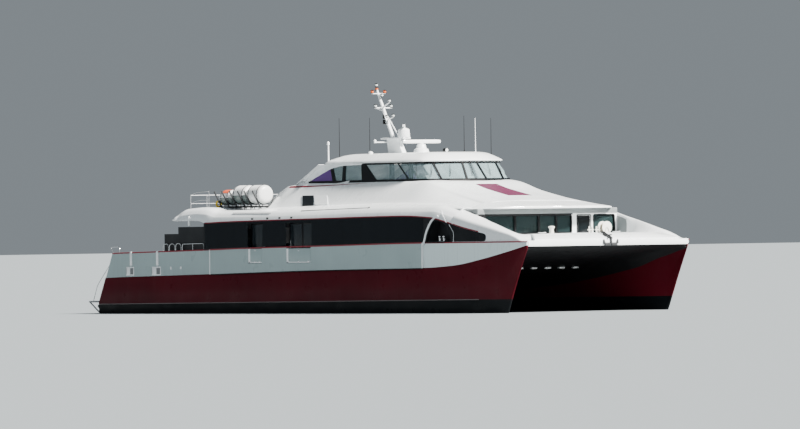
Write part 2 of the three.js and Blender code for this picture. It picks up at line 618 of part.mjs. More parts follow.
// Plan of the wheelhouse at its base and at its roof; the port half, from aft to the nose.
const WHEEL = [
  { bx: -3.95, by: 2.8, tx: -1.5, ty: 2.5 },
  { bx: -1.6, by: 2.86, tx: 0.4, ty: 2.52 },
  { bx: 1.2, by: 2.92, tx: 2.2, ty: 2.6 },
  { bx: 4.2, by: 2.92, tx: 4.3, ty: 2.6 },
  { bx: 6.9, by: 2.92, tx: 6.1, ty: 2.58 },
  { bx: 8.0, by: 2.65, tx: 7.15, ty: 2.45 },
  { bx: 8.5, by: 1.6, tx: 7.6, ty: 1.5 },
  { bx: 8.7, by: 0.5, tx: 7.8, ty: 0.45 },
];
const WHEEL_Z = { base: 6.5, top: 7.7, sill: 6.86, head: 7.64 };
const WHEEL_WALL = 0.09;
const WHEEL_MID_X = 2.6;

function wheelPoint(t, z, inset) {
  const i = Math.min(Math.floor(t), WHEEL.length - 2);
  const f = t - i;
  const mix = (key) => WHEEL[i][key] * (1 - f) + WHEEL[i + 1][key] * f;
  const k = (z - WHEEL_Z.base) / (WHEEL_Z.top - WHEEL_Z.base);
  const x = mix('bx') * (1 - k) + mix('tx') * k;
  const y = mix('by') * (1 - k) + mix('ty') * k;
  return [WHEEL_MID_X + (x - WHEEL_MID_X) * (1 - inset / 5.2), y * (1 - inset / 2.75), z];
}
function wheelRing(z, inset) {
  const half = WHEEL.map((_, i) => wheelPoint(i, z, inset));
  return [...half, ...half.slice().reverse().map(([x, y, w]) => [x, -y, w])];
}
const wheelSolid = (inset, z0, z1) => solid(
  loft([wheelRing(z0, inset), wheelRing(z1, inset)], 'xy'));
const deckCut = outer.translate([0, 0, 0.003]);
const PILLARS = [1.9, 2.75, 3.7, 4.1, 4.9, 5.9, 6.75];
// The window band, drawn out to a point aft.
const BAND = [[-2.25, WHEEL_Z.sill], [-1.53, 7.17], [-0.71, 7.46], [0.25, WHEEL_Z.head],
  [9.2, WHEEL_Z.head], [9.2, WHEEL_Z.sill]];
{
  const wall = wheelSolid(0, WHEEL_Z.base, WHEEL_Z.top).subtract(
    wheelSolid(WHEEL_WALL, WHEEL_Z.base - 0.1, WHEEL_Z.top + 0.1));
  let frame = wall.subtract(sidePrism(BAND, -4, 4));
  for (const t of PILLARS) {
    for (const s of [-1, 1]) {
      const a = wheelPoint(t, 6.7, 0.045);
      const b = wheelPoint(t - 0.12, 7.69, 0.045);
      const pillar = bar([a[0], s * a[1], a[2]], [b[0], s * b[1], b[2]], 0.055, 0.055, 6);
      frame = frame.add(pillar.intersect(wall));
    }
  }
  add('wheelhouse_frame', biggest(frame.subtract(deckCut)), 'black');
  const glass = wheelSolid(WHEEL_WALL + 0.02, 6.6, 7.695).subtract(
    wheelSolid(WHEEL_WALL + 0.05, 6.5, 7.8)).subtract(deckCut);
  add('wheelhouse_glazing', biggest(glass), 'glass');
}

// Roof of the wheelhouse: a sharp lip over the windows, a sloping edge that sweeps down
// aft, and the radar's pedestal. In each layer nothing lies aft of the aft limit.
const RADAR_X = 3.66;
const ROOF_LAYERS = [
  { z: 7.703, inset: -0.04, aft: -1.5 },
  { z: 7.77, inset: -0.16, aft: -1.42 },
  { z: 7.88, inset: 0.0, aft: -1.2 },
  { z: 8.0, inset: 0.2, aft: -0.8 },
  { z: 8.12, inset: 0.45, aft: -0.35 },
  { z: 8.2, inset: 0.85, aft: 0.2 },
];
{
  const rings = ROOF_LAYERS.map(({ z, inset, aft }) => wheelRing(WHEEL_Z.top, inset)
    .map(([x, y], i, ring) => [
      Math.max(x, aft + 0.03 * Math.min(i, ring.length - 1 - i)), y, z]));
  add('wheelhouse_roof', join([
    solid(loft(rings, 'xy')),
    bar([RADAR_X, 0, 8.1], [RADAR_X, 0, 8.42], 0.42, 0.36, 20),
    bar([RADAR_X, 0, 8.4], [RADAR_X, 0, 8.655], 0.27, 0.22, 20),
  ]), 'white');
}

// Floor, console and the two helm chairs.
const BRIDGE_Z = 5.75;
const fitout = [
  block(-1.2, 6.9, -2.4, 2.4, BRIDGE_Z - 0.05, BRIDGE_Z),
  block(-0.8, 0.8, -0.5, 0.5, CEILING.z1 - 0.04, BRIDGE_Z - 0.04),
  sidePrism([[6.75, BRIDGE_Z - 0.02], [7.1, 6.5], [7.1, 6.62], [6.75, 6.7], [6.2, 6.5],
    [6.2, BRIDGE_Z - 0.02]], -1.8, 1.8),
];
for (const { s } of SIDES) {
  const y = s * 0.75;
  const at = (x0, x1, w, z0, z1) => block(x0, x1, y - w, y + w, z0, z1);
  fitout.push(
    at(4.95, 5.25, 0.15, BRIDGE_Z - 0.02, BRIDGE_Z + 0.04),
    at(5.05, 5.15, 0.05, BRIDGE_Z, 6.25),
    at(4.82, 5.4, 0.27, 6.22, 6.36),
    at(4.72, 4.86, 0.25, 6.3, 7.12),
  );
}
add('bridge_deck', biggest(join(fitout).subtract(deckCut.subtract(deckPrism(WELL, 5, 8)))), 'deck');

// Mast and radars

const PYLON = { x0: 0.8, x1: 1.72, half: 0.14, z0: 8.202, z1: 8.98 };
const TOP_RADAR = { x: 2.15, z: 9.526, turn: 53.9 };
{
  const foot = sidePrism([[PYLON.x0 + 0.15, PYLON.z0], [PYLON.x1 + 0.5, PYLON.z0],
    [PYLON.x1, PYLON.z1], [PYLON.x0, PYLON.z1]], -PYLON.half, PYLON.half);
  add('mast', join([
    foot,
    block(0.4, 2.4, -0.22, 0.22, 8.94, 9.04),
    bar([0.9, -0.95, 8.8], [0.9, 0.95, 8.8], 0.03),
    bar([TOP_RADAR.x, 0, 9.0], [TOP_RADAR.x, 0, 9.52], 0.31, 0.26, 20),
    bar([1.24, 0, 8.95], [0.16, 0, 10.94], 0.09, 0.07),
    bar([0.17, 0, 10.9], [-0.2, 0, 11.6], 0.07, 0.05),
    bar([-0.2, 0, 11.55], [-0.24, 0, 11.93], 0.11, 0.11),
    bar([0.36, -0.5, 10.6], [0.36, 0.5, 10.6], 0.025),
    bar([0.3, 0, 10.62], [0.9, 0, 10.9], 0.03),
    block(0.5, 0.82, -0.16, 0.16, 9.75, 10.3),
    bar([-0.05, -0.42, 11.35], [-0.05, 0.42, 11.35], 0.025),
    block(0.1, 0.4, -0.14, 0.14, 11.15, 11.4),
    bar([-0.1, 0, 11.3], [0.25, 0, 11.28], 0.04),
  ]), 'white');
}
add('radar_bar_main', join([
  block(RADAR_X - 0.1, RADAR_X + 0.1, -1.2, 1.2, 8.7, 8.88),
  bar([RADAR_X, 0, 8.66], [RADAR_X, 0, 8.72], 0.12, 0.12, 16),
]), 'white');
// the upper scanner is modelled turned, pointing forward and to starboard
add('radar_bar_top', join([
  block(-0.07, 0.07, -0.6, 0.6, 0.05, 0.18),
  bar([0, 0, 0], [0, 0, 0.08], 0.08, 0.08, 16),
]).rotate([0, 0, TOP_RADAR.turn]).translate([TOP_RADAR.x, 0, TOP_RADAR.z]), 'white');

// Life rafts

const RAFTS = [
  { name: 'forward', x0: -6.5, x1: -5.25, r: 0.5, z: 6.2 },
  { name: 'middle', x0: -7.85, x1: -6.6, r: 0.5, z: 6.2 },
  { name: 'aft', x0: -9.15, x1: -8.1, r: 0.4, z: 6.08 },
];
const RAFT_Y = 3.55;
for (const { name, s } of SIDES) {
  for (const r of RAFTS) {
    const c = 0.14;
    add(`raft_${r.name}_${name}`, join([
      bar([r.x0 + c, s * RAFT_Y, r.z], [r.x1 - c, s * RAFT_Y, r.z], r.r, r.r, 24),
      bar([r.x0, s * RAFT_Y, r.z], [r.x0 + c, s * RAFT_Y, r.z], r.r * 0.72, r.r, 24),
      bar([r.x1 - c, s * RAFT_Y, r.z], [r.x1, s * RAFT_Y, r.z], r.r, r.r * 0.72, 24),
    ]), 'white');
  }
  const parts = [];
  for (const y of [3.25, 3.85]) {
    parts.push(block(-9.2, -5.2, s * y - 0.04, s * y + 0.04, 5.52, 5.6));
  }
  for (const x of [-9.0, -8.3, -7.6, -6.85, -6.25, -5.5]) {
    parts.push(block(x - 0.04, x + 0.04, s * RAFT_Y - 0.42, s * RAFT_Y + 0.42, 5.54, 5.62));
    parts.push(bar([x, s * 3.78, 5.5], [x, s * 4.3, 6.4], 0.03, 0.03, 8));
    parts.push(bar([x, s * 3.15, 5.57], [x, s * 2.97, 6.0], 0.03, 0.03, 8));
    for (const y of [3.22, 3.88]) {
      parts.push(block(x - 0.03, x + 0.03, s * y - 0.03, s * y + 0.03, 5.2, 5.58));
    }
  }
  let cradle = join(parts).subtract(deckCut);
  for (const r of RAFTS) {
    const room = r.r + 0.006;
    cradle = cradle.subtract(bar([r.x0 - 0.01, s * RAFT_Y, r.z],
      [r.x1 + 0.01, s * RAFT_Y, r.z], room, room, 24));
  }
  add(`raft_cradle_${name}`, biggest(cradle), 'steel');
}

// Bow fittings

const REEL = { x: 17.0, y: 1.62, z: 4.22, r: 0.3, half: 0.2, hub: 0.14, foot: 3.92 };
const alongReel = (dx0, dx1, r, sides) => bar([REEL.x + dx0, REEL.y, REEL.z],
  [REEL.x + dx1, REEL.y, REEL.z], r, r, sides);
const underReel = (dx, half, width, z0, z1) => block(REEL.x + dx - half, REEL.x + dx + half,
  REEL.y - width, REEL.y + width, z0, z1);
add('hawser_reel', join([
  alongReel(-REEL.half, -REEL.half + 0.04, REEL.r, 24),
  alongReel(-REEL.half + 0.02, REEL.half - 0.02, REEL.hub, 16),
  alongReel(REEL.half - 0.04, REEL.half, REEL.r, 24),
  underReel(-REEL.half - 0.03, 0.035, 0.1, REEL.foot, REEL.z + 0.08),
  underReel(REEL.half + 0.03, 0.035, 0.1, REEL.foot, REEL.z + 0.08),
  underReel(0, REEL.half + 0.1, 0.2, REEL.foot - 0.005, REEL.foot + 0.02),
]), 'steel');
add('anchor', join([
  bar([18.7, 0.1, 4.03], [19.46, 0.1, 3.69], 0.05, 0.05, 8),
  block(19.43, 19.52, 0.03, 0.17, 3.25, 3.74),
  block(19.43, 19.5, -0.35, 0.55, 3.22, 3.34),
  block(19.43, 19.49, -0.35, -0.23, 3.22, 3.6),
  block(19.43, 19.49, 0.43, 0.55, 3.22, 3.6),
]), 'steel');

// Waterjets

// Along X, going aft from the transom; bucket and guard run above the nozzle.
const JET = {
  y: 4.12,
  z: -0.02,
  x0: TRANSOM_X - 0.01,
  x1: TRANSOM_X - 0.25,
  pivot: TRANSOM_X - 0.35,
  nozzleStart: TRANSOM_X - 0.44,
  nozzleEnd: TRANSOM_X - 0.75,
};
const BUCKET = { x0: TRANSOM_X - 0.55, x1: TRANSOM_X - 1.13, low: 0.05, lip: 0.3, top: 0.46 };
const GUARD = { x0: TRANSOM_X - 0.005, x1: TRANSOM_X - 1.16, y0: 3.3, y1: 5.0, z: 0.6, foot: -0.05 };
for (const { name, s } of SIDES) {
  const y = s * JET.y;
  const tube = bar([JET.nozzleStart, y, JET.z], [JET.nozzleEnd, y, JET.z], 0.33, 0.26, 24)
    .subtract(bar([JET.nozzleStart + 0.1, y, JET.z], [JET.nozzleEnd - 0.1, y, JET.z],
      0.23, 0.19, 24));
  const ear = (z) => block(JET.nozzleStart - 0.06, JET.pivot + 0.04, y - 0.05, y + 0.05,
    z, z + 0.04);
  add(`jet_nozzle_${name}`, join([
    tube,
    ear(JET.z + 0.28),
    ear(JET.z - 0.32),
  ]), 'steel');
  const cheek = (side) => sidePrism([[BUCKET.x0, BUCKET.low], [BUCKET.x1 + 0.2, BUCKET.lip],
    [BUCKET.x1, BUCKET.lip], [BUCKET.x1, BUCKET.top], [BUCKET.x0, BUCKET.top]],
  y + side * 0.36 - 0.02, y + side * 0.36 + 0.02);
  add(`jet_bucket_${name}`, join([
    cheek(-1), cheek(1),
    block(BUCKET.x1, BUCKET.x0 - 0.05, y - 0.36, y + 0.36, BUCKET.top - 0.04, BUCKET.top),
    block(BUCKET.x1, BUCKET.x1 + 0.04, y - 0.36, y + 0.36, BUCKET.lip, BUCKET.top),
  ]), 'steel');
  const rail = (a, b) => bar([a[0], s * a[1], a[2]], [b[0], s * b[1], b[2]], 0.045, 0.045, 8);
  const mid = GUARD.z + 0.03;
  const lug = (z) => block(JET.pivot - 0.04, JET.x1 + 0.1, y - 0.06, y + 0.06, z, z + 0.04);
  add(`jet_housing_${name}`, join([
    bar([JET.x0, y, JET.z], [JET.x0 - 0.08, y, JET.z], 0.5, 0.5, 24),
    bar([JET.x0 - 0.06, y, JET.z], [JET.x1, y, JET.z], 0.42, 0.38, 24),
    lug(JET.z + 0.335),
    lug(JET.z - 0.375),
    block(JET.x0 - 0.07, JET.x0, y - 0.2, y + 0.2, 0.3, GUARD.z + 0.02),
    block(GUARD.x1, GUARD.x0, ...ordered(s * GUARD.y0, s * GUARD.y1), GUARD.z, GUARD.z + 0.06),
    rail([GUARD.x0 - 0.005, GUARD.y1, mid], [GUARD.x1, GUARD.y1, mid]),
    rail([GUARD.x0 - 0.005, GUARD.y0, mid], [GUARD.x1, GUARD.y0, mid]),
    rail([GUARD.x1, GUARD.y1, mid], [GUARD.x1, GUARD.y0, mid]),
    rail([GUARD.x1, GUARD.y1, mid], [GUARD.x0 - 0.035, GUARD.y1, GUARD.foot]),
    rail([GUARD.x1, GUARD.y0, mid], [GUARD.x0 - 0.035, GUARD.y0, GUARD.foot]),
  ]), 'steel');
}

export default root;
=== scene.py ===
# %% [markdown]
# This lesson dresses a fast passenger ferry on two hulls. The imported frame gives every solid
# its true size and place, so each visible piece is made around it, in metres, with +X to the
# bow, +Y to port, +Z up and the water at Z = 0.

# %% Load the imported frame
import math

import bpy
import bmesh
from mathutils import Matrix, Vector


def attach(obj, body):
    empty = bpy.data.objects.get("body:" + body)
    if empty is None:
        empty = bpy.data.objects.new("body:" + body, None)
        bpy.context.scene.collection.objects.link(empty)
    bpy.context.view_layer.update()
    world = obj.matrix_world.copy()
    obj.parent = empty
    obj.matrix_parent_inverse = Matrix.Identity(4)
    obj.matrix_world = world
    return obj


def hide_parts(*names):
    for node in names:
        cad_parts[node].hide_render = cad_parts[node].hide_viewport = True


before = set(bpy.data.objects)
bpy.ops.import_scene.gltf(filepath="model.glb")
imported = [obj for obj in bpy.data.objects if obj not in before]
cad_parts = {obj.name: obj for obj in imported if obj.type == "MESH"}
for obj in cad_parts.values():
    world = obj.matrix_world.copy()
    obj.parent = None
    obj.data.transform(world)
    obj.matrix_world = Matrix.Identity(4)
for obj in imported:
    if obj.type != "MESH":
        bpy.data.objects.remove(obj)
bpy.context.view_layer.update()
VESSEL = "vessel"
SIDES = {"starboard": -1, "port": 1}


def add_object(name, data):
    """New object for some data, linked into the scene."""
    made = bpy.data.objects.new(name, data)
    bpy.context.collection.objects.link(made)
    return made


# %% [markdown]
# The boat was seen from far off through a long lens, low over the water, on its starboard bow.
# Far away and narrow, the view is almost without perspective. The camera stands where the
# horizon, the two stems and the stern fall on the frame as they do in the picture.

# %% Camera
CAMERA_PLACE = Vector((323.97, -234.62, 4.0))
CAMERA_YAW = 2.5123
CAMERA_PITCH = 0.0026
CAMERA_ROLL = -0.0146
CAMERA_LENS = 345.6


def aim_camera():
    """Camera at its place, turned by yaw, pitch and roll in radians."""
    look = Vector((math.cos(CAMERA_PITCH) * math.cos(CAMERA_YAW),
                   math.cos(CAMERA_PITCH) * math.sin(CAMERA_YAW), math.sin(CAMERA_PITCH)))
    right = look.cross(Vector((0, 0, 1))).normalized()
    up = right.cross(look)
    turn_right = right * math.cos(CAMERA_ROLL) + up * math.sin(CAMERA_ROLL)
    turn_up = up * math.cos(CAMERA_ROLL) - right * math.sin(CAMERA_ROLL)
    data = bpy.data.cameras.new("camera")
    data.lens = CAMERA_LENS
    data.clip_start = 1.0
    data.clip_end = 3000.0
    camera = add_object("camera", data)
    basis = Matrix((turn_right, turn_up, -look)).transposed().to_4x4()
    camera.matrix_world = Matrix.Translation(CAMERA_PLACE) @ basis
    bpy.context.scene.camera = camera


aim_camera()
print("camera at", tuple(round(v, 1) for v in CAMERA_PLACE))

# %% [markdown]
# Plain light: a dim pale world all round, a strong sun off the port bow, about 40 degrees up,
# that makes the white top and the foredeck bright, and a weak wide one from starboard so the
# near side, which lies in shade, keeps its form.

# %% World, lamps and floor
WORLD_COLOUR = (0.62, 0.70, 0.76, 1.0)
WORLD_STRENGTH = 0.36


def add_world():
    world = bpy.data.worlds.new("soft_sky")
    world.use_nodes = True
    back = world.node_tree.nodes["Background"]
    back.inputs["Color"].default_value = WORLD_COLOUR
    back.inputs["Strength"].default_value = WORLD_STRENGTH
    bpy.context.scene.world = world


def add_sun(name, direction, strength, angle, colour=(1, 1, 1)):
    data = bpy.data.lights.new(name, "SUN")
    data.energy = strength
    data.angle = math.radians(angle)
    data.color = colour
    lamp = add_object(name, data)
    lamp.rotation_mode = "QUATERNION"
    lamp.rotation_quaternion = Vector(direction).to_track_quat("-Z", "Y")


add_world()
add_sun("key_off_the_bow", (-0.70, -0.27, -0.66), 20.0, 8, (1.0, 0.97, 0.92))
add_sun("fill_from_starboard", (-0.35, 0.85, -0.3), 0.45, 30, (0.88, 0.94, 1.0))

FLOOR_REACH = 1400.0


def add_floor():
    """Pale floor at the waterline, wide enough to meet the horizon."""
    mesh = bpy.data.meshes.new("floor")
    reach = FLOOR_REACH
    mesh.from_pydata([(-reach, -reach, 0), (reach, -reach, 0), (reach, reach, 0), (-reach, reach, 0)],
                     [], [(0, 1, 2, 3)])
    floor = add_object("floor", mesh)
    material = bpy.data.materials.new("pale_floor")
    material.use_nodes = True
    shader = material.node_tree.nodes["Principled BSDF"]
    shader.inputs["Base Color"].default_value = (0.22, 0.245, 0.26, 1)
    shader.inputs["Roughness"].default_value = 0.7
    mesh.materials.append(material)


add_floor()
print("light: one world, two suns, one floor")

# %% [markdown]
# Boats are drawn from tables: for a few stations along the length, how wide and how high each
# line runs. A smooth curve through the table gives the line at every other station. The curve
# used here never overshoots between two rows, so a straight stretch stays straight.


# %% Smooth lines through tables
def smooth(points):
    """Function of x through (x, value) pairs: a cubic that does not overshoot."""
    xs = [p[0] for p in points]
    ys = [p[1] for p in points]
    last = len(xs) - 1
    slope = [(ys[i + 1] - ys[i]) / (xs[i + 1] - xs[i]) for i in range(last)]
    tangent = [slope[0]]
    for i in range(1, last):
        a, b = slope[i - 1], slope[i]
        tangent.append(0 if a * b <= 0 else 2 * a * b / (a + b))
    tangent.append(slope[-1])

    def value(x):
        if x <= xs[0]:
            return ys[0]
        if x >= xs[-1]:
            return ys[-1]
        i = 0
        while x > xs[i + 1]:
            i += 1
        h = xs[i + 1] - xs[i]
        t = (x - xs[i]) / h
        return (ys[i] * (1 + 2 * t) * (1 - t) ** 2 + h * tangent[i] * t * (1 - t) ** 2
                + ys[i + 1] * t * t * (3 - 2 * t) + h * tangent[i + 1] * t * t * (t - 1))

    return value


def spread(start, end, count):
    """count evenly spaced values from start to end."""
    return [start + (end - start) * i / (count - 1) for i in range(count)]


def steps(start, end, pitch):
    """Evenly spaced values from start to end, no further apart than pitch."""
    return spread(start, end, max(2, math.ceil(abs(end - start) / pitch) + 1))


def rounded(points, per_span=5):
    """A smooth path through points of a section, sampled per_span times in each span."""
    ends = [points[0]] + list(points) + [points[-1]]
    path = []
    for i in range(1, len(ends) - 2):
        p0, p1, p2, p3 = (Vector(q) for q in ends[i - 1:i + 3])
        for k in range(per_span):
            t = k / per_span
            path.append(0.5 * ((2 * p1) + (p2 - p0) * t + (2 * p0 - 5 * p1 + 4 * p2 - p3) * t * t
                               + (3 * p1 - 3 * p2 + p3 - p0) * t ** 3))
    path.append(Vector(points[-1]))
    return [tuple(p) for p in path]


# %% [markdown]
# A few small builders make most pieces. A sheet joins rows of points into faces, a solid closes
# a stack of rings with two caps, and blocks, turned shapes and round bars are made from these.
# A piece gathers its parts in one mesh, and put() makes it an object that rides on its body.


# %% Mesh builders
WELD = 1e-5
ALONG, ACROSS, UP = 0, 1, 2


def put(name, shape, material, body=VESSEL, angle=32, replaces=None, outward=True):
    """Object for a finished bmesh or mesh: smooth but for edges past an angle, on a body."""
    mesh = mesh_of(name, shape, outward) if isinstance(shape, bmesh.types.BMesh) else shape
    piece = add_object(name, mesh)
    for one in material if isinstance(material, (list, tuple)) else [material]:
        mesh.materials.append(one)
    mesh.shade_smooth()
    mesh.set_sharp_from_angle(angle=math.radians(angle))
    if replaces:
        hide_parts(replaces)
    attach(piece, body)
    return piece


def mesh_of(name, bm, outward=True):
    """Plain mesh from a bmesh, its doubles merged and its faces turned outward."""
    bmesh.ops.remove_doubles(bm, verts=bm.verts, dist=WELD)
    loose = [v for v in bm.verts if not v.link_faces]
    bmesh.ops.delete(bm, geom=loose, context="VERTS")
    if outward:
        bmesh.ops.recalc_face_normals(bm, faces=bm.faces)
    mesh = bpy.data.meshes.new(name)
    bm.to_mesh(mesh)
    bm.free()
    return mesh


def thicken(bm, thickness):
    """Give an open sheet a plate thickness, laid against its normals."""
    bm.normal_update()
    outer = bm.faces[:]
    rim = [edge.link_loops[0] for edge in bm.edges if edge.is_boundary]
    rim = [(loop.vert, loop.link_loop_next.vert) for loop in rim]
    inner = {v: bm.verts.new(v.co - v.normal * thickness) for v in bm.verts[:]}
    for face in outer:
        bm.faces.new([inner[v] for v in reversed(face.verts)])
    for a, b in rim:
        bm.faces.new((b, a, inner[a], inner[b]))
    if thickness < 0:
        bmesh.ops.reverse_faces(bm, faces=bm.faces)


def plate(bm, thickness):
    """Turn the faces of a sheet one way and give it a thickness."""
    bmesh.ops.recalc_face_normals(bm, faces=bm.faces)
    bmesh.ops.solidify(bm, geom=bm.faces[:], thickness=thickness)


def add_sheet(bm, rows, ring=False, skip=None, index=0):
    """Faces between neighbouring rows of points; skip(i, j) leaves a face out."""
    verts = [[bm.verts.new(p) for p in row] for row in rows]
    count = len(rows[0])
    for i in range(len(rows) - 1):
        for j in range(count if ring else count - 1):
            if skip and skip(i, j):
                continue
            k = (j + 1) % count
            face = bm.faces.new((verts[i][j], verts[i][k], verts[i + 1][k], verts[i + 1][j]))
            face.material_index = index
    return verts


def add_solid(bm, rings, index=0):
    """Closed solid through rings of points."""
    verts = add_sheet(bm, rings, ring=True, index=index)
    for end in (verts[0], verts[-1]):
        bm.faces.new(end).material_index = index


def add_across(bm, profile, ys, index=0):
    """Solid with one (x, z) profile at each half-breadth of a list."""
    add_solid(bm, [[(x, y, z) for x, z in profile] for y in ys], index)


def add_bent(bm, place, angles, section, index=0):
    """Band bent round an axis along X: section holds (distance along the axis, radius)."""
    x, y, z = place
    add_solid(bm, [[(x + along, y + r * math.cos(a), z + r * math.sin(a)) for along, r in section]
                   for a in angles], index)


def add_block(bm, low, high, index=0, bevel=0.0):
    """Box between two opposite corners, its edges rounded off by bevel."""
    (x0, x1), (y0, y1), (z0, z1) = (sorted(pair) for pair in zip(low, high))
    ring = [(x0, y0), (x1, y0), (x1, y1), (x0, y1)]
    verts = [[bm.verts.new((x, y, z)) for x, y in ring] for z in (z0, z1)]
    faces = [bm.faces.new(verts[0]), bm.faces.new(verts[1])]
    for i in range(4):
        k = (i + 1) % 4
        faces.append(bm.faces.new((verts[0][i], verts[0][k], verts[1][k], verts[1][i])))
    for face in faces:
        face.material_index = index
    if bevel:
        edges = list({e for f in faces for e in f.edges})
        bmesh.ops.recalc_face_normals(bm, faces=faces)
        made = bmesh.ops.bevel(bm, geom=edges, offset=bevel, segments=2, profile=0.5,
                               affect="EDGES", clamp_overlap=True)
        for face in made["faces"]:
            face.material_index = index


def circle(centre, axis, radius, sides, start=0.0):
    """Points of a circle round an axis."""
    axis = Vector(axis).normalized()
    first = axis.orthogonal().normalized()
    second = axis.cross(first)
    return [Vector(centre) + radius * (math.cos(a) * first + math.sin(a) * second)
            for a in (start + 2 * math.pi * i / sides for i in range(sides))]


def add_round(bm, line, sides=16, index=0):
    """Turned shape: line holds (point, radius) stations along one straight axis."""
    axis = Vector(line[-1][0]) - Vector(line[0][0])
    add_solid(bm, [circle(p, axis, max(r, 1e-4), sides) for p, r in line], index)


def add_turned(bm, place, axis, stations, sides=16, index=0):
    """Turned shape about an axis through place: stations are (distance along it, radius)."""
    line = []
    for along, radius in stations:
        point = list(place)
        point[axis] += along
        line.append((point, radius))
    add_round(bm, line, sides, index)


def add_tube(bm, path, radius, sides=8, index=0):
    """Round bar along a path of points."""
    points = [Vector(p) for p in path]
    rings = []
    guide = None
    for i, p in enumerate(points):
        ahead = points[min(i + 1, len(points) - 1)] - points[max(i - 1, 0)]
        ahead.normalize()
        if guide is None:
            guide = ahead.orthogonal().normalized()
        guide = (guide - ahead * guide.dot(ahead)).normalized()
        other = ahead.cross(guide)
        rings.append([p + radius * (math.cos(a) * guide + math.sin(a) * other)
                      for a in (2 * math.pi * k / sides for k in range(sides))])
    add_solid(bm, rings, index)


def arc_path(points, radius, per_corner=5):
    """A path through corner points with each inner corner rounded."""
    corners = [Vector(p) for p in points]
    path = [corners[0]]
    for before, here, after in zip(corners, corners[1:], corners[2:]):
        a, b = before - here, after - here
        reach = min(radius, a.length / 2, b.length / 2)
        start = here + a.normalized() * reach
        end = here + b.normalized() * reach
        for i in range(per_corner + 1):
            t = i / per_corner
            path.append(start * (1 - t) ** 2 + here * 2 * t * (1 - t) + end * t * t)
    path.append(corners[-1])
    return path


# %% [markdown]
# Every finish is a small node tree on Object coordinates. Paint on a working boat is never one
# flat colour: it varies slowly over metres, the plating under it is not quite flat, and salt and
# rain leave faint upright streaks. One function gives all paints these three things.


# %% Material builder
class Finish:
    """One material with short calls for the nodes a finish needs."""

    def __init__(self, name, colour, roughness, metallic=0.0, coat=0.0, gloss=0.5):
        self.material = bpy.data.materials.new(name)
        self.material.use_nodes = True
        self.tree = self.material.node_tree
        self.shader = self.tree.nodes["Principled BSDF"]
        for key, value in (("Base Color", (*colour, 1)), ("Roughness", roughness),
                           ("Metallic", metallic), ("Coat Weight", coat),
                           ("Coat Roughness", 0.08), ("Specular IOR Level", gloss)):
            self.shader.inputs[key].default_value = value
        self.place = self.node("ShaderNodeTexCoord").outputs["Object"]

    def node(self, kind, **values):
        made = self.tree.nodes.new(kind)
        for key, value in values.items():
            setattr(made, key, value)
        return made

    def link(self, source, target):
        self.tree.links.new(source, target)

    def stretch(self, scale):
        mapping = self.node("ShaderNodeMapping")
        mapping.inputs["Scale"].default_value = scale
        self.link(self.place, mapping.inputs["Vector"])
        return mapping.outputs["Vector"]

    def noise(self, size, scale=(1, 1, 1), detail=4.0, roughness=0.5):
        """Noise with patches about size metres across, stretched by scale."""
        texture = self.node("ShaderNodeTexNoise")
        texture.inputs["Scale"].default_value = 1.0 / size
        texture.inputs["Detail"].default_value = detail
        texture.inputs["Roughness"].default_value = roughness
        self.link(self.stretch(scale), texture.inputs["Vector"])
        return texture.outputs["Fac"]

    def band(self, source, low, high, out_low=0.0, out_high=1.0):
        """Source mapped from low..high to out_low..out_high and clamped."""
        ramp = self.node("ShaderNodeMapRange")
        for key, value in (("From Min", low), ("From Max", high),
                           ("To Min", out_low), ("To Max", out_high)):
            ramp.inputs[key].default_value = value
        self.link(source, ramp.inputs["Value"])
        return ramp.outputs["Result"]

    def part(self, axis):
        split = self.node("ShaderNodeSeparateXYZ")
        self.link(self.place, split.inputs["Vector"])
        return split.outputs[axis]

    def maths(self, operation, a, b):
        made = self.node("ShaderNodeMath", operation=operation)
        for i, value in enumerate((a, b)):
            if isinstance(value, (int, float)):
                made.inputs[i].default_value = value
            else:
                self.link(value, made.inputs[i])
        return made.outputs["Value"]

    def mix(self, amount, first, second):
        """Colour between first and second; either is a colour or a socket."""
        made = self.node("ShaderNodeMix", data_type="RGBA")
        self.link(amount, made.inputs["Factor"])
        for socket, value in zip((made.inputs[6], made.inputs[7]), (first, second)):
            if isinstance(value, tuple):
                socket.default_value = (*value, 1)
            else:
                self.link(value, socket)
        return made.outputs[2]

    def paint(self, colour):
        self.link(colour, self.shader.inputs["Base Color"])

    def rough(self, source, low, high):
        self.link(self.band(source, 0.3, 0.7, low, high), self.shader.inputs["Roughness"])

    def bump(self, height, distance, strength=1.0):
        made = self.node("ShaderNodeBump")
        made.inputs["Distance"].default_value = distance
        made.inputs["Strength"].default_value = strength
        self.link(height, made.inputs["Height"])
        self.link(made.outputs["Normal"], self.shader.inputs["Normal"])


def darker(colour, share):
    return tuple(c * share for c in colour)


def boat_paint(name, colour, roughness=0.28, fairness=0.006, streaks=0.10, coat=0.25, gloss=0.5):
    """Topcoat: slow colour drift, rain streaks, plating that is not quite flat."""
    finish = Finish(name, colour, roughness, coat=coat, gloss=gloss)
    drift = finish.band(finish.noise(2.6), 0.35, 0.65)
    base = finish.mix(drift, colour, darker(colour, 0.93))
    rain = finish.band(finish.noise(0.35, (3.0, 3.0, 0.16), 5.0), 0.55, 0.75, 0.0, streaks)
    finish.paint(finish.mix(rain, base, darker(colour, 0.55)))
    finish.rough(finish.noise(0.9), roughness * 0.85, roughness * 1.3)
    finish.bump(finish.noise(1.3, (1, 1, 1.4), 2.0), fairness)
    return finish.material


def repaint(node, material):
    """Gives a finish to a solid of the frame that is shown as it is."""
    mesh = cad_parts[node].data
    mesh.materials.clear()
    mesh.materials.append(material)


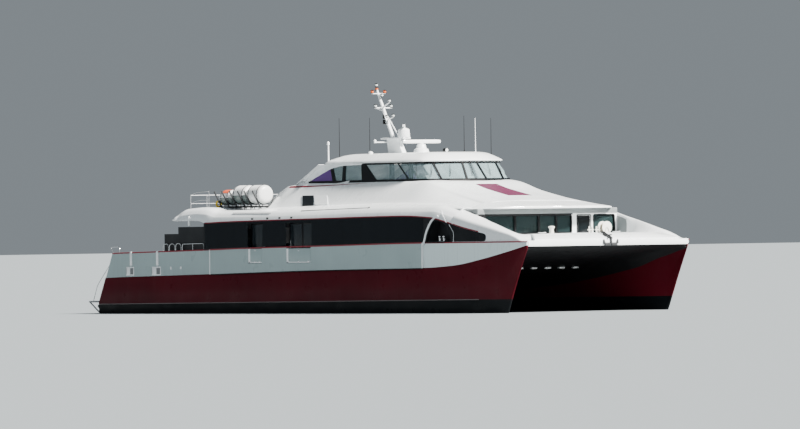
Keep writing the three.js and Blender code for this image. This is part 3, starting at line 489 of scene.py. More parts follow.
WHITE = boat_paint("white_topcoat", (0.85, 0.88, 0.89), 0.26, 0.008, 0.10)
RED_LINE = boat_paint("red_line_paint", (0.21, 0.010, 0.022), 0.4, 0.0, 0.1, 0.0, 0.3)
BAND = boat_paint("band_black_gloss", (0.004, 0.005, 0.0065), 0.22, 0.002, 0.0, 0.0, 0.22)
PANEL_RED = boat_paint("bonnet_panel_maroon", (0.105, 0.018, 0.05), 0.4, 0.0, 0.2, 0.0, 0.3)
print("paints:", len(bpy.data.materials))

# %% [markdown]
# These are the lines that the whole boat hangs on: where the side plating starts and ends, how
# high the dark window band runs, how the shoulders sweep down to the bow, and how far out each
# surface stands. The same tables shape the solids of the frame.

# %% Lines of the boat
TRANSOM_X = -18.75
TIP_X = 19.42
BOW_STEP_X = 13.45
DECK_Z = 2.45
BOW_TOP_Z = 3.4
HOUSE_FORE_X = 13.4
RECESS_Y = 4.43
SHOULDER_Y = 4.72

stripe_z = smooth([(TRANSOM_X, 3.2), (-16.5, 3.22), (-7.9, 3.34), (-4.3, 3.40), (2.9, 3.47),
                   (11, 3.55), (TIP_X, 3.55)])
band_z = smooth([(TRANSOM_X, 1.92), (-7.9, 2.08), (2.84, 2.25), (10.96, 2.31), (13.53, 2.42),
                 (15.77, 2.72), (17.87, 3.09), (TIP_X, 3.40)])
window_z = smooth([(-11.75, 4.96), (-11.2, 4.9), (-9, 4.87), (-8.4, 4.75), (-6.5, 4.79),
                   (-4.15, 4.82), (2.14, 4.88), (9.13, 4.93), (11.43, 4.84), (12.94, 4.58),
                   (14.37, 4.28), (15.81, 4.04), (16.3, 3.95)])
shoulder_z = smooth([(-11.75, 5.1), (-11.35, 5.36), (-10.8, 5.5), (-9, 5.58), (-8.4, 5.54),
                     (-7.6, 5.38), (0, 5.4), (8, 5.48), (11.6, 5.48), (12.74, 5.28),
                     (13.66, 5.05), (14.47, 4.85), (15.4, 4.64), (16.3, 4.43), (17.1, 4.22),
                     (17.95, 4.0), (18.45, 3.82), (18.95, 3.62), (TIP_X, 3.58)])
house_y = smooth([(-11.75, 5.24), (-8.4, 5.39), (9, 5.39), (11.2, 5.35), (13.4, 5.3), (15, 5.27),
                  (17, 5.19), (TIP_X, 5.09)])
skin_y = smooth([(TRANSOM_X, 5.2), (-14, 5.3), (10, 5.3), (14, 5.28), (17, 5.2), (TIP_X, 5.1)])
tunnel_z = smooth([(TRANSOM_X, 1.45), (-10, 1.5), (6, 1.58), (10, 1.8), (13, 2.2), (15, 2.58),
                   (17, 2.92), (TIP_X, 3.3)])
haunch_z = smooth([(TRANSOM_X, 0.95), (-10, 1.0), (6, 1.05), (10, 1.3), (13, 1.65), (15.1, 1.95),
                   (16.2, 2.15), (17.6, 2.6), (TIP_X, 3.24)])
crest_y = smooth([(13.4, 4.72), (16, 4.68), (18, 4.8), (TIP_X, 4.99)])
crest_in_y = smooth([(13.4, 4.45), (15, 4.45), (15.8, 4.58), (18, 4.7), (TIP_X, 4.93)])
slope_foot_y = smooth([(13.4, RECESS_Y), (15, RECESS_Y), (15.5, 4.1), (16.2, 3.85), (17.2, 3.8),
                       (18.2, 4.0), (TIP_X, 4.64)])
foredeck_z = smooth([(14.4, 3.5), (16.5, 3.76), (17.6, 3.92), (18.3, 3.93), (18.9, 3.82),
                     (TIP_X, 3.62)])

# x, keel height, keel half-breadth, inner wall half-breadth, inner deck edge half-breadth
HULL = [
    (TRANSOM_X, -0.5, 4.12, 2.95, 2.95), (-16, -0.8, 4.12, 2.9, 2.9), (-10, -1.25, 4.12, 2.86, 2.86),
    (-4, -1.4, 4.12, 2.86, 2.86), (4, -1.42, 4.15, 2.95, 2.95), (8, -1.4, 4.25, 3.2, 3.1),
    (11, -1.36, 4.42, 3.6, 3.35), (14, -1.28, 4.68, 4.16, 3.75), (16, -1.1, 4.88, 4.6, 4.2),
    (17, -0.75, 4.97, 4.82, 4.45), (17.6, -0.15, 5.02, 4.94, 4.62), (18, 0.6, 5.04, 5.0, 4.72),
    (18.45, 1.5, 5.05, 5.02, 4.8), (18.95, 2.45, 5.06, 5.03, 4.88), (19.36, 3.2, 5.06, 5.03, 4.95),
]
keel_z, keel_y, inner_y, deck_in_y = (smooth([(row[0], row[k]) for row in HULL]) for k in (1, 2, 3, 4))
LEDGE = 0.115
RAKE_FADE_X = -16.5
RAKE_FOOT_Z = 0.55
RAKE_SLOPE = 0.52


def rake(x, z):
    """How far forward the raked stern carries a point at height z."""
    if x > RAKE_FADE_X:
        return 0.0
    share = min(1.0, (RAKE_FADE_X - x) / (RAKE_FADE_X - TRANSOM_X))
    return RAKE_SLOPE * max(0.0, z - RAKE_FOOT_Z) * share


def raked(x, y, z):
    return (x + rake(x, z), y, z)


print("beam", 2 * skin_y(0), "m, band height amidships", round(stripe_z(0) - band_z(0), 2), "m")

# %% [markdown]
# The two slender hulls are plated aluminium. A hull is lofted through sections: up the flat
# inner wall, round the bilge and the keel, and up the outer side to the ledge that the light
# side plating stands on. The paint changes from black to maroon at the boot-top, which climbs
# a little to the bow, so it is one material that reads height and length. A thin spray rail
# runs along the change.

# %% Hull finish
BOOT_TOP_Z = 0.6
BOOT_TOP_CLIMB = 0.0056


def hull_finish():
    finish = Finish("hull_maroon_and_black", (0.06, 0.008, 0.012), 0.3, gloss=0.06)
    climb = finish.maths("MULTIPLY", finish.part("X"), BOOT_TOP_CLIMB)
    height = finish.maths("SUBTRACT", finish.part("Z"), climb)
    drift = finish.band(finish.noise(2.2, (0.6, 0.6, 1.2)), 0.3, 0.7)
    maroon = finish.mix(drift, (0.078, 0.0048, 0.0105), (0.058, 0.0036, 0.0078))
    streak = finish.band(finish.noise(0.28, (3.2, 3.2, 0.12), 6.0), 0.56, 0.78, 0.0, 0.25)
    maroon = finish.mix(streak, maroon, (0.075, 0.026, 0.027))
    black = finish.mix(drift, (0.004, 0.0055, 0.0065), (0.008, 0.009, 0.010))
    salt = finish.band(finish.noise(0.5, (0.35, 0.35, 3.0), 5.0), 0.55, 0.8, 0.0, 0.2)
    black = finish.mix(salt, black, (0.035, 0.035, 0.034))
    edge = finish.band(height, BOOT_TOP_Z - 0.006, BOOT_TOP_Z + 0.006)
    finish.paint(finish.mix(edge, black, maroon))
    finish.rough(finish.noise(0.8), 0.25, 0.45)
    frames = finish.maths("SINE", finish.maths("MULTIPLY", finish.part("X"), 2 * math.pi / 1.2), 0)
    frames = finish.maths("MULTIPLY", frames, 0.22)
    lumps = finish.maths("ADD", frames, finish.noise(1.1, (1, 1, 1.6), 2.0))
    finish.bump(lumps, 0.008)
    return finish.material


HULL_PAINT = hull_finish()
# painted shade: near black for the tunnel roof, its haunches down the inner hull sides, and the strip
# under the sponson
PAINTED_SHADE_BLACK = boat_paint("painted_shade_black", (0.006, 0.006, 0.007), 0.55, 0.01, 0.1, 0.0, 0.2)
RAIL_GREY = boat_paint("spray_rail_grey", (0.16, 0.13, 0.13), 0.4, 0.0, 0.1)
print("hull finish made")


# %% Hulls
def hull_section(x, side):
    """Section of one hull at x: inner deck edge, down, round the keel, up to the ledge."""
    bottom = keel_z(x)
    middle = keel_y(x)
    inside = inner_y(x)
    outside = skin_y(x)
    chine = max(0.15, bottom + 0.12 * (BOW_TOP_Z - bottom))
    rise = chine - bottom
    out_reach = outside - 0.03 - middle
    in_reach = middle - inside
    band = min(max(band_z(x), bottom + 0.6 * (BOW_TOP_Z - bottom)), BOW_TOP_Z - 0.01)
    half = chine + 0.45 * (band - chine)
    lip = min(LEDGE, outside - deck_in_y(x) - 0.02)
    inner = [(deck_in_y(x), BOW_TOP_Z),
             (inside + (deck_in_y(x) - inside) * 0.55, half + 0.55 * (BOW_TOP_Z - half)),
             (inside, half)]
    bilge = rounded([(inside, half), (inside + 0.01, chine),
                     (middle - in_reach * 0.88, bottom + rise * 0.42),
                     (middle - in_reach * 0.5, bottom + rise * 0.13), (middle, bottom),
                     (middle + out_reach * 0.5, bottom + rise * 0.13),
                     (middle + out_reach * 0.88, bottom + rise * 0.42), (outside - 0.03, chine),
                     (outside, half)], 4)
    top = [(outside, band - 0.02), (outside - 0.012, band), (outside - lip, band),
           (outside - lip, BOW_TOP_Z)]
    points = inner[:2] + bilge + top
    limit = BOW_TOP_Z if x > BOW_STEP_X else DECK_Z
    return [raked(x, side * y, min(z, limit)) for y, z in points]


HULL_X = (steps(TRANSOM_X, 13.44, 0.42) + [13.46] + steps(13.8, 17.0, 0.3) + steps(17.15, 19.36, 0.11))
for side_name, side in SIDES.items():
    bm = bmesh.new()
    add_solid(bm, [hull_section(x, side) for x in HULL_X])
    put(f"hull_skin_{side_name}", bm, HULL_PAINT, angle=38,
        replaces=f"hull_{side_name}")

    # spray rail: a thin ledge where the black bottom ends, dying out towards the bow
    bm = bmesh.new()
    rail = []
    for x in steps(TRANSOM_X + 0.1, 15.5, 0.5):
        proud = 0.035 * min(1.0, (15.6 - x) / 4.0)
        y = skin_y(x) - 0.006
        z = BOOT_TOP_Z + BOOT_TOP_CLIMB * x
        rail.append([raked(x, side * v, z + w) for v, w in
                     ((y - 0.02, -0.035), (y + proud, -0.01), (y + proud, 0.01), (y - 0.02, 0.035))])
    add_solid(bm, rail)
    put(f"spray_rail_{side_name}", bm, RAIL_GREY)
print("two hulls,", len(HULL_X), "sections each")

# %% [markdown]
# Between the hulls runs an arched tunnel, painted near black as painted shade. Its roof rises to the
# bow, where it ends under the foredeck lip. A row of small flush lamps crosses the arch well inside.


# %% Tunnel between the hulls
def tunnel_section(x):
    low = min(haunch_z(x), BOW_TOP_Z - 0.1)
    crown = min(tunnel_z(x), BOW_TOP_Z - 0.05)
    wall = inner_y(x)
    edge = (wall + skin_y(x)) / 2
    arch = rounded([(wall - 0.02, low - 0.06), (wall - 0.12, low),
                    (wall - 0.45, low + (crown - low) * 0.6), (wall - 1.0, crown),
                    (0.6, crown + 0.01)], 4)
    top = BOW_TOP_Z if x > BOW_STEP_X else DECK_Z
    half = [(edge, top), (edge, low - 0.1)] + arch
    return [(x, y, z) for y, z in half] + [(x, -y, z) for y, z in reversed(half)]


bm = bmesh.new()
add_solid(bm, [tunnel_section(x) for x in steps(-17.6, 13.44, 0.6) + [13.46] + steps(13.8, 19.3, 0.25)])
put("tunnel_roof", bm, PAINTED_SHADE_BLACK, angle=40, replaces="cross_deck")

LAMP_PITCH = 0.88
LAMP_X = 13.0
glow = Finish("tunnel_lamp_lens", (0.75, 0.78, 0.78), 0.3)
bm = bmesh.new()
for i in range(-3, 4):
    y = i * LAMP_PITCH + 0.1
    z = tunnel_z(LAMP_X) - 0.004
    add_block(bm, (LAMP_X - 0.08, y - 0.17, z - 0.05), (LAMP_X + 0.1, y + 0.17, z + 0.05), bevel=0.02)
put("tunnel_lamps", bm, glow.material)
print("tunnel with 7 lamps")

# %% [markdown]
# Above each hull a light grey band of plating closes the side up to the red line at the deck
# edge. Amidships the sponson stands 0.1 m proud of it, with white bars at its two ends. Boarding
# gates fold out of it at two places, so the plating is made in lengths that leave them open.

# %% Side plating
SPONSON_X = (-7.9, 10.96)
SPONSON_OUT = 5.4
# name, aft edge, forward edge
GATES = [("aft", -4.36, -3.16), ("forward", -0.91, 1.24)]
GATE_LOW = 2.62
GATE_TOP = 3.36
GATE_GAP = 0.012


def silver_finish():
    finish = Finish("band_silver_paint", (0.43, 0.47, 0.48), 0.3, coat=0.1, gloss=0.25)
    drift = finish.band(finish.noise(2.4), 0.3, 0.7)
    base = finish.mix(drift, (0.33, 0.415, 0.42), (0.29, 0.365, 0.37))
    # forward of the sponson the band is painted lighter, as painted light where it turns to face the
    # bow
    forward = finish.band(finish.part("X"), 10.9, 11.0)
    base = finish.mix(forward, base, (0.64, 0.74, 0.75))
    rain = finish.band(finish.noise(0.3, (3.5, 3.5, 0.1), 6.0), 0.54, 0.76, 0.0, 0.22)
    base = finish.mix(rain, base, (0.20, 0.20, 0.19))
    finish.paint(base)
    finish.rough(finish.noise(0.8), 0.24, 0.44)
    seam = finish.maths("PINGPONG", finish.part("X"), 0.75)
    groove = finish.band(seam, 0.0, 0.02, 0.0, 1.0)
    dents = finish.maths("ADD", groove, finish.noise(0.9, (1, 1, 1.2), 2.0))
    finish.bump(dents, 0.005)
    return finish.material


BAND_SILVER = silver_finish()


def plating_length(bm, side, x0, x1, reach, top=None):
    """Length of plating up to a height or to the red line, its outer edges eased."""
    ease = 0.015
    rings = []
    for x in steps(x0, x1, 0.5):
        out, inner = reach(x), skin_y(x) - LEDGE + 0.004
        low, high = band_z(x) - 0.02, top or stripe_z(x) - 0.014
        points = [(inner, low), (out - ease, low), (out, low + ease), (out, high - ease),
                  (out - ease, high), (inner, high)]
        rings.append([raked(x, side * y, z) for y, z in points])
    add_solid(bm, rings)


for side_name, side in SIDES.items():
    bm = bmesh.new()
    for x0, x1 in ((TRANSOM_X + 0.1, SPONSON_X[0]), (SPONSON_X[1], TIP_X - 0.04)):
        plating_length(bm, side, x0, x1, lambda x: skin_y(x) + 0.012)
    edges = [SPONSON_X[0]]
    for _, x0, x1 in GATES:
        edges += [x0 - GATE_GAP, x1 + GATE_GAP]
        plating_length(bm, side, *edges[-2:], lambda x: SPONSON_OUT, GATE_LOW - GATE_GAP)
    edges.append(SPONSON_X[1])
    for x0, x1 in zip(edges[0::2], edges[1::2]):
        plating_length(bm, side, x0, x1, lambda x: SPONSON_OUT)
    put(f"side_band_{side_name}", bm, BAND_SILVER,
        replaces=f"side_plating_{side_name}")

    # white bars down both ends of the sponson, and a near-black strip under it as painted shadow
    bm = bmesh.new()
    for x in SPONSON_X:
        aft = x - 0.045
        add_block(bm, (aft, side * 5.31, band_z(x) - 0.03),
                  (aft + 0.07, side * 5.412, stripe_z(x) + 0.02), bevel=0.01)
    put(f"sponson_end_bars_{side_name}", bm, WHITE)

    bm = bmesh.new()
    rows = []
    for x in steps(SPONSON_X[0] + 0.05, SPONSON_X[1] - 0.05, 0.6):
        z = band_z(x) - 0.02
        rows.append([(x, side * v, w) for v, w in ((5.295, z + 0.01), (5.385, z + 0.01),
                                                   (5.375, z - 0.035), (5.295, z - 0.05))])
    add_solid(bm, rows)
    put(f"sponson_underside_{side_name}", bm, PAINTED_SHADE_BLACK)
print("side plating:", len(GATES), "gates a side")

# %% [markdown]
# A gate is a flat hinged flap of the same plate. It has a white edge down its aft side and along
# its bottom, three hinges under it and a recessed latch.

# %% Gates
STEEL = Finish("stainless_rail", (0.62, 0.63, 0.64), 0.22, metallic=1.0).material
ALLOY = Finish("bare_alloy", (0.45, 0.46, 0.47), 0.42, metallic=0.9).material
RUBBER = Finish("black_rubber", (0.012, 0.012, 0.013), 0.65).material

for side_name, side in SIDES.items():
    outer = side * SPONSON_OUT
    for gate_name, x0, x1 in GATES:
        body = f"gate_{gate_name}_{side_name}_body"
        bm = bmesh.new()
        add_block(bm, (x0, outer - side * 0.06, GATE_LOW), (x1, outer, GATE_TOP), bevel=0.012)
        put(f"gate_{gate_name}_{side_name}_flap", bm, BAND_SILVER, body,
            replaces=f"gate_{gate_name}_{side_name}")

        bm = bmesh.new()
        y0, y1 = outer - side * 0.005, outer + side * 0.007
        add_block(bm, (x0 + 0.005, y0, GATE_LOW + 0.01), (x0 + 0.17, y1, GATE_TOP - 0.01))
        add_block(bm, (x0 + 0.005, y0, GATE_LOW + 0.005), (x1 - 0.005, y1, GATE_LOW + 0.045))
        put(f"gate_{gate_name}_{side_name}_edging", bm, WHITE, body)

        bm = bmesh.new()
        y0, y1 = outer - side * 0.03, outer + side * 0.006
        for x in spread(x0 + 0.2, x1 - 0.2, 3):
            add_block(bm, (x - 0.05, y0, GATE_LOW + 0.05), (x + 0.05, y1, GATE_LOW + 0.12), bevel=0.006)
        middle = (x0 + x1) / 2
        add_block(bm, (middle - 0.07, outer - side * 0.02, GATE_TOP - 0.11),
                  (middle + 0.07, y1, GATE_TOP - 0.05), bevel=0.006)
        put(f"gate_{gate_name}_{side_name}_fittings", bm, STEEL, body)
print("gates and their fittings")

# %% [markdown]
# The deck edge carries a thin red line from stern to bow, and a second one runs along the top of
# the dark window band. Both are painted flat mouldings, made by one function that follows a
# height line just outside the surface it lies on.


# %% Skin of the upper works
def turn_z(x):
    """Height where the upright side starts to turn in over the shoulder."""
    top = shoulder_z(x)
    return min(top - 0.2, max(window_z(x) + 0.16, top - 0.36))


def side_y(x, z):
    """Half-breadth of the outer skin at x and height z, from the deck edge to the shoulder."""
    low = stripe_z(x)
    top = shoulder_z(x)
    outside = house_y(x)
    if x < HOUSE_FORE_X:
        window = window_z(x)
        line = [(low, outside), (window, outside - 0.04),
                (turn_z(x), outside - 0.12), (top - 0.12, outside - 0.34), (top, SHOULDER_Y)]
    else:
        rise = max(top - low, 0.04)
        width = outside - crest_y(x)
        line = [(low, outside), (low + rise * 0.55, outside - width * 0.07),
                (low + rise * 0.82, outside - width * 0.2),
                (low + rise * 0.94, outside - width * 0.55), (low + rise, crest_y(x))]
    if z <= line[0][0]:
        return line[0][1]
    for (z0, y0), (z1, y1) in zip(line, line[1:]):
        if z <= z1:
            return y0 + (y1 - y0) * (z - z0) / max(z1 - z0, 1e-6)
    return line[-1][1]


def moulding(bm, side, xs, height, half, proud, surface):
    """Flat strip along a height line, standing proud of a surface."""
    rings = []
    for x in xs:
        z = height(x)
        low, high = surface(x, z - half), surface(x, z + half)
        rings.append([raked(x, side * y, w) for y, w in
                      ((low - 0.012, z - half), (low + proud, z - half + 0.004),
                       (high + proud, z + half - 0.004), (high - 0.012, z + half))])
    add_solid(bm, rings)


def edge_surface(x, _z):
    if SPONSON_X[0] <= x <= SPONSON_X[1]:
        return SPONSON_OUT
    return skin_y(x) + 0.012


for side_name, side in SIDES.items():
    bm = bmesh.new()
    for x0, x1 in ((TRANSOM_X + 0.1, SPONSON_X[0] - 0.01), SPONSON_X,
                   (SPONSON_X[1] + 0.01, TIP_X - 0.01)):
        moulding(bm, side, steps(x0, x1, 0.35), stripe_z, 0.034, 0.012, edge_surface)
    moulding(bm, side, steps(-8.4, 15.5, 0.35), window_z, 0.03, 0.01, side_y)
    put(f"red_lines_{side_name}", bm, RED_LINE)
print("red lines along", 2 * len(SIDES), "edges")

# %% [markdown]
# The superstructure is one welded alloy shell: near-upright sides, rounded shoulders, flat side
# decks, and in the middle a raised bonnet that sweeps up to the wheelhouse and down to a canopy
# over the foredeck. It is a grid over stations and section points, opened under the wheelhouse
# and then given its plate thickness.

# %% Superstructure shell
# x, bonnet edge half-breadth, bonnet edge height, side-deck edge half-breadth, side-deck height
HOUSE = [
    (-11.75, 2.6, 5.26, 3.6, 5.22), (-10.8, 2.6, 5.56, 3.65, 5.52), (-8.6, 2.7, 5.6, 3.75, 5.56),
    (-7.6, 2.7, 5.5, 3.4, 5.46), (-6.75, 2.6, 5.5, 2.9, 5.46), (-6, 2.6, 6.06, 2.9, 5.46),
    (-5.25, 2.7, 6.33, 2.91, 5.45), (-4.6, 2.9, 6.5, 3.95, 5.47), (-3.95, 3.0, 6.64, 3.95, 5.49),
    (-3.1, 2.98, 6.68, 3.95, 5.5), (-2.0, 2.95, 6.7, 3.92, 5.52),
    (4.0, 2.95, 6.74, 3.95, 5.6),
    (7.7, 2.95, 6.72, 4.05, 5.62), (10.2, 3.0, 6.16, 4.2, 5.55), (12.2, 3.1, 5.76, 4.35, 5.46),
    (13.4, 3.2, 5.56, 4.35, 5.275),
]
sill_y, sill_z, foot_y, foot_z = (smooth([(row[0], row[k]) for row in HOUSE]) for k in (1, 2, 3, 4))
CAMBER = 0.09
SHELL_THICKNESS = 0.07


def shell_half(x):
    """Upper shell at x: from the window band's top over the shoulder to the ridge."""
    window = window_z(x)
    top = shoulder_z(x)
    outside = house_y(x)
    low = (outside - 0.04, window)
    turn = (outside - 0.12, turn_z(x))
    corner = rounded([turn, (outside - 0.34, top - 0.12), (SHOULDER_Y, top)], 4)
    deck = rounded([(SHOULDER_Y, top), (foot_y(x) + 0.2, foot_z(x)), (foot_y(x), foot_z(x) + 0.01),
                    (sill_y(x) + 0.12, max(sill_z(x) - 0.16, foot_z(x) + 0.012)),
                    (sill_y(x) - 0.2, max(sill_z(x), foot_z(x) + 0.02)),
                    (sill_y(x) - 0.9, sill_z(x) + 0.05)], 4)
    ridge = [(y, sill_z(x) + CAMBER * (1 - (y / 2.0) ** 2 * 0.5)) for y in (1.5, 1.0, 0.5)]
    return [low] + corner[:-1] + deck + ridge


def shell_row(x):
    half = shell_half(x)
    ridge = (x, 0.0, sill_z(x) + CAMBER)
    return ([(x, y, z) for y, z in half] + [ridge] + [(x, -y, z) for y, z in reversed(half)])


def in_well(x, y):
    """Inside the opening of the shell under the wheelhouse."""
    if x < -1.6 or x > 7.4:
        return False
    return abs(y) < (2.5 if x < 6.4 else 2.5 - 0.95 * (x - 6.4) / 0.8 if x < 7.2 else 1.4)


SHELL_X = (steps(-11.65, -10.7, 0.1) + steps(-10.4, -9.2, 0.4) + steps(-9.0, -7.0, 0.25)
           + steps(-6.8, -1.8, 0.13) + steps(-1.6, 13.4, 0.3))
shell_rows = [shell_row(x) for x in SHELL_X]


def over_well(i, j):
    corners = (shell_rows[i][j], shell_rows[i][j + 1], shell_rows[i + 1][j + 1], shell_rows[i + 1][j])
    return all(in_well(p[0], p[1]) for p in corners)


bm = bmesh.new()
add_sheet(bm, shell_rows, skip=over_well)
bmesh.ops.recalc_face_normals(bm, faces=bm.faces)
top_face = max(bm.faces, key=lambda f: f.calc_center_median().z)
if top_face.normal.z < 0:
    bmesh.ops.reverse_faces(bm, faces=bm.faces)
thicken(bm, SHELL_THICKNESS)

# ceiling over the saloon, with the stairwell to the wheelhouse
CEILING_Z = (4.92, 4.97)
STAIR_HALF = (0.95, 0.65)
for x0, x1, y0, y1 in ((-8.3, -STAIR_HALF[0], -4.9, 4.9), (STAIR_HALF[0], 13.38, -4.9, 4.9),
                       (-STAIR_HALF[0], STAIR_HALF[0], -4.9, -STAIR_HALF[1]),
                       (-STAIR_HALF[0], STAIR_HALF[0], STAIR_HALF[1], 4.9)):
    add_block(bm, (x0, y0, CEILING_Z[0]), (x1, y1, CEILING_Z[1]))

# canopy: the visor over the front bulkhead
CANOPY_UNDER = 5.215
CANOPY_X = 13.36
CANOPY_LIP = 0.05
canopy_z = smooth([(13.36, 5.57), (14.4, 5.42), (15.4, 5.31), (15.95, 5.26)])
canopy_edge = smooth([(0, 15.8), (1.87, 15.4), (3.51, 15.0), (4.12, 14.35), (RECESS_Y, 13.75)])


def canopy_top(x, y):
    """Top of the canopy, falling to the height of the shoulder's crest at its sides."""
    crown = canopy_z(x) + 0.07 * max(0.0, 1 - (y / 3.1) ** 2)
    side = max(CANOPY_UNDER + CANOPY_LIP, min(5.3, shoulder_z(x) + 0.02))
    share = max(0.0, (abs(y) - 2.9) / (RECESS_Y - 2.9))
    return crown + (side - crown) * share * share * (3 - 2 * share)


def canopy_row(t, height):
    row = []
    for y in spread(-RECESS_Y, RECESS_Y, 57):
        x = CANOPY_X + (canopy_edge(abs(y)) - CANOPY_X) * t
        row.append((x, y, height(x, y)))
    return row


rows = [canopy_row(t, lambda x, y, t=t: canopy_top(x, y) - 0.03 * t ** 8) for t in spread(0, 1, 11)]
rows.append([(x + 0.012, y, max(CANOPY_UNDER + 0.01, z - 0.03)) for x, y, z in rows[-1]])
rows += [canopy_row(t, lambda _x, _y: CANOPY_UNDER) for t in (1, 0)]
add_sheet(bm, rows)
for edge in (0, -1):
    bm.faces.new([bm.verts.new(row[edge]) for row in rows])
put("superstructure_shell", bm, WHITE, angle=30, replaces="upper_shell")
print("shell:", len(SHELL_X), "stations,", len(shell_rows[0]), "points a section")


# %% Shoulders down to the bow
# Inside the crest an upright wall stands beside the recess. Further forward it lies down into a
# hollow slope that runs out on the foredeck.
def shoulder_section(x, side):
    outside = house_y(x)
    low = stripe_z(x) + 0.001
    top = max(shoulder_z(x), low + 0.04)
    rise = top - low
    width = outside - crest_y(x)
    inner = crest_in_y(x)
    foot = slope_foot_y(x)
    foot_height = min(foredeck_z(x), top) - 0.03
    crown = rounded([(outside - width * 0.07, low + rise * 0.55),
                     (outside - width * 0.2, low + rise * 0.82),
                     (outside - width * 0.55, low + rise * 0.94), (crest_y(x), top),
                     (inner, top - 0.03 * min(1, rise)),
                     (foot + (inner - foot) * 0.6, foot_height + (top - foot_height) * 0.3),
                     (foot, foot_height)], 4)
    floor = BOW_TOP_Z + 0.012
    seat = skin_y(x) - 0.165
    ring = [(outside, low)] + crown + [(foot, floor), (seat - 0.002, floor), (seat, low)]
    return [(x, side * y, z) for y, z in ring]


# painted shade: the recess behind the mooring opening is painted near black for the shade inside it
RECESS_SHADE = boat_paint("recess_painted_shade", (0.022, 0.024, 0.027), 0.45, 0.0, 0.15, 0.0)

for side_name, side in SIDES.items():
    bm = bmesh.new()
    add_solid(bm, [shoulder_section(x, side) for x in steps(13.41, 14.9, 0.25) + steps(15, 19.4, 0.1)])
    put(f"shoulder_skin_{side_name}", bm, WHITE, angle=34,
        replaces=f"shoulder_{side_name}")

    # recess behind the mooring opening: floor, back, ends and a top, near black as painted shade
    bm = bmesh.new()
    floor_z = stripe_z(12) + 0.006
    for (x0, x1), (y0, y1), (z0, z1) in (
            ((11.15, 13.38), (4.435, 5.2), (floor_z, floor_z + 0.05)),
            ((11.15, 13.38), (4.435, 4.48), (floor_z + 0.05, 4.75)),
            ((11.15, 11.2), (4.48, 5.2), (floor_z + 0.05, 4.75)),
            ((13.33, 13.38), (4.48, 5.12), (floor_z + 0.05, 4.66)),
            ((11.15, 13.38), (4.435, 5.0), (4.70, 4.75))):
        add_block(bm, (x0, side * y0, z0), (x1, side * y1, z1))
    put(f"mooring_recess_{side_name}", bm, RECESS_SHADE)

    # a pair of bollards on one sole plate, with collars and a cross bar
    bm = bmesh.new()
    base = floor_z + 0.05
    add_block(bm, (11.6, side * 4.7, base), (12.31, side * 5.0, base + 0.025), bevel=0.008)
    for x in (11.78, 12.13):
        add_turned(bm, (x, side * 4.85, base), UP,
                   ((0.0, 0.1), (0.03, 0.085), (0.06, 0.075), (0.2, 0.075), (0.24, 0.098),
                    (0.28, 0.1), (0.3, 0.085), (0.31, 0.0)), 20)
    add_tube(bm, [(11.63, side * 4.85, base + 0.13), (12.28, side * 4.85, base + 0.13)], 0.022, 10)
    put(f"mooring_bollards_{side_name}", bm, STEEL)

    # black panel that carries the window band on over the shoulder to its rounded end
    bm = bmesh.new()
    rows = []
    for x in steps(13.32, 15.8, 0.14) + steps(15.85, 16.14, 0.03):
        low = stripe_z(x) + 0.045
        high = window_z(x) - 0.03
        end = max(0.0, (x - 15.85) / 0.29)
        shrink = 1 - max(0.0, 1 - end ** 3) ** (1 / 3)
        low, high = low + (high - low) * 0.5 * shrink, high - (high - low) * 0.5 * shrink
        heights = spread(low, high, 7)
        rows.append([(x, side * (side_y(x, z) + 0.005), z) for z in heights])
    add_sheet(bm, rows)
    bmesh.ops.recalc_face_normals(bm, faces=bm.faces)
    if sum(f.normal.y for f in bm.faces) * side < 0:
        bmesh.ops.reverse_faces(bm, faces=bm.faces)
    put(f"shoulder_black_panel_{side_name}", bm, BAND, outward=False)

    # rims of the opening: a broad white bar up its aft arc to the roof, a thin one forward
    bm = bmesh.new()
    arc = rounded([(11.02, -0.1), (11.1, 0.1), (11.3, 0.6), (11.62, 1.04), (11.9, 1.24),
                   (12.2, 1.36)], 6)
    rings = []
    for x, h in arc:
        z = stripe_z(x) + h
        y = max(side_y(x, z), skin_y(x)) if h > 0 else SPONSON_OUT
        rings.append([(x + dx, side * (y + dy), z - dx * 0.45) for dx, dy in
                      ((-0.055, -0.03), (-0.055, 0.022), (0.055, 0.022), (0.055, -0.03))])
    add_solid(bm, rings)
    put(f"mooring_aft_bar_{side_name}", bm, WHITE)

    bm = bmesh.new()
    rim = [(13.51, 3.6), (13.52, 3.8), (13.49, 4.05), (13.35, 4.23), (13.12, 4.47)]
    path = [(x, side * (side_y(x, z) + 0.012), z) for x, z in rounded(rim, 6)]
    add_tube(bm, path, 0.011, 8)
    # short white bar from the shoulder down over the red line
    bar = []
    for s in spread(0, 1, 9):
        x, z = 12.25 + 0.63 * s, 5.2 - 0.62 * s
        y = side_y(x, z)
        bar.append([(x + dx, side * (y + dy), z - dx * 0.4) for dx, dy in
                    ((-0.05, -0.03), (-0.05, 0.02), (0.05, 0.02), (0.05, -0.03))])
    add_solid(bm, bar)
    put(f"mooring_forward_rim_{side_name}", bm, WHITE)
print("shoulders, recesses and bollards")

# %% [markdown]
# The long dark side is one black band from outside, but it is a row of tinted panes bonded over
# the frame with thin dark joints. Behind them the saloon is faintly seen. The panes follow the
# skin, and a framed door stands at each boarding gate.


# %% Side glazing
def glass_finish(name, tint, alpha, roughness=0.05, gloss=0.3):
    finish = Finish(name, tint, roughness, gloss=gloss)
    finish.shader.inputs["Alpha"].default_value = alpha
    finish.shader.inputs["IOR"].default_value = 1.5
    finish.bump(finish.noise(2.0, (0.5, 0.5, 1.0), 1.0), 0.004)
    return finish.material


TINTED = glass_finish("tinted_side_glass", (0.005, 0.007, 0.009), 0.93, 0.08, 0.2)
CLEAR = glass_finish("clear_green_glass", (0.42, 0.57, 0.60), 0.2)
VIOLET = glass_finish("violet_aft_glass", (0.13, 0.06, 0.24), 0.8)
FRONT_GLASS = glass_finish("foredeck_front_glass", (0.013, 0.025, 0.026), 0.9)
LEAF_GLASS = glass_finish("foredeck_door_dark_glass", (0.004, 0.006, 0.007), 0.95)

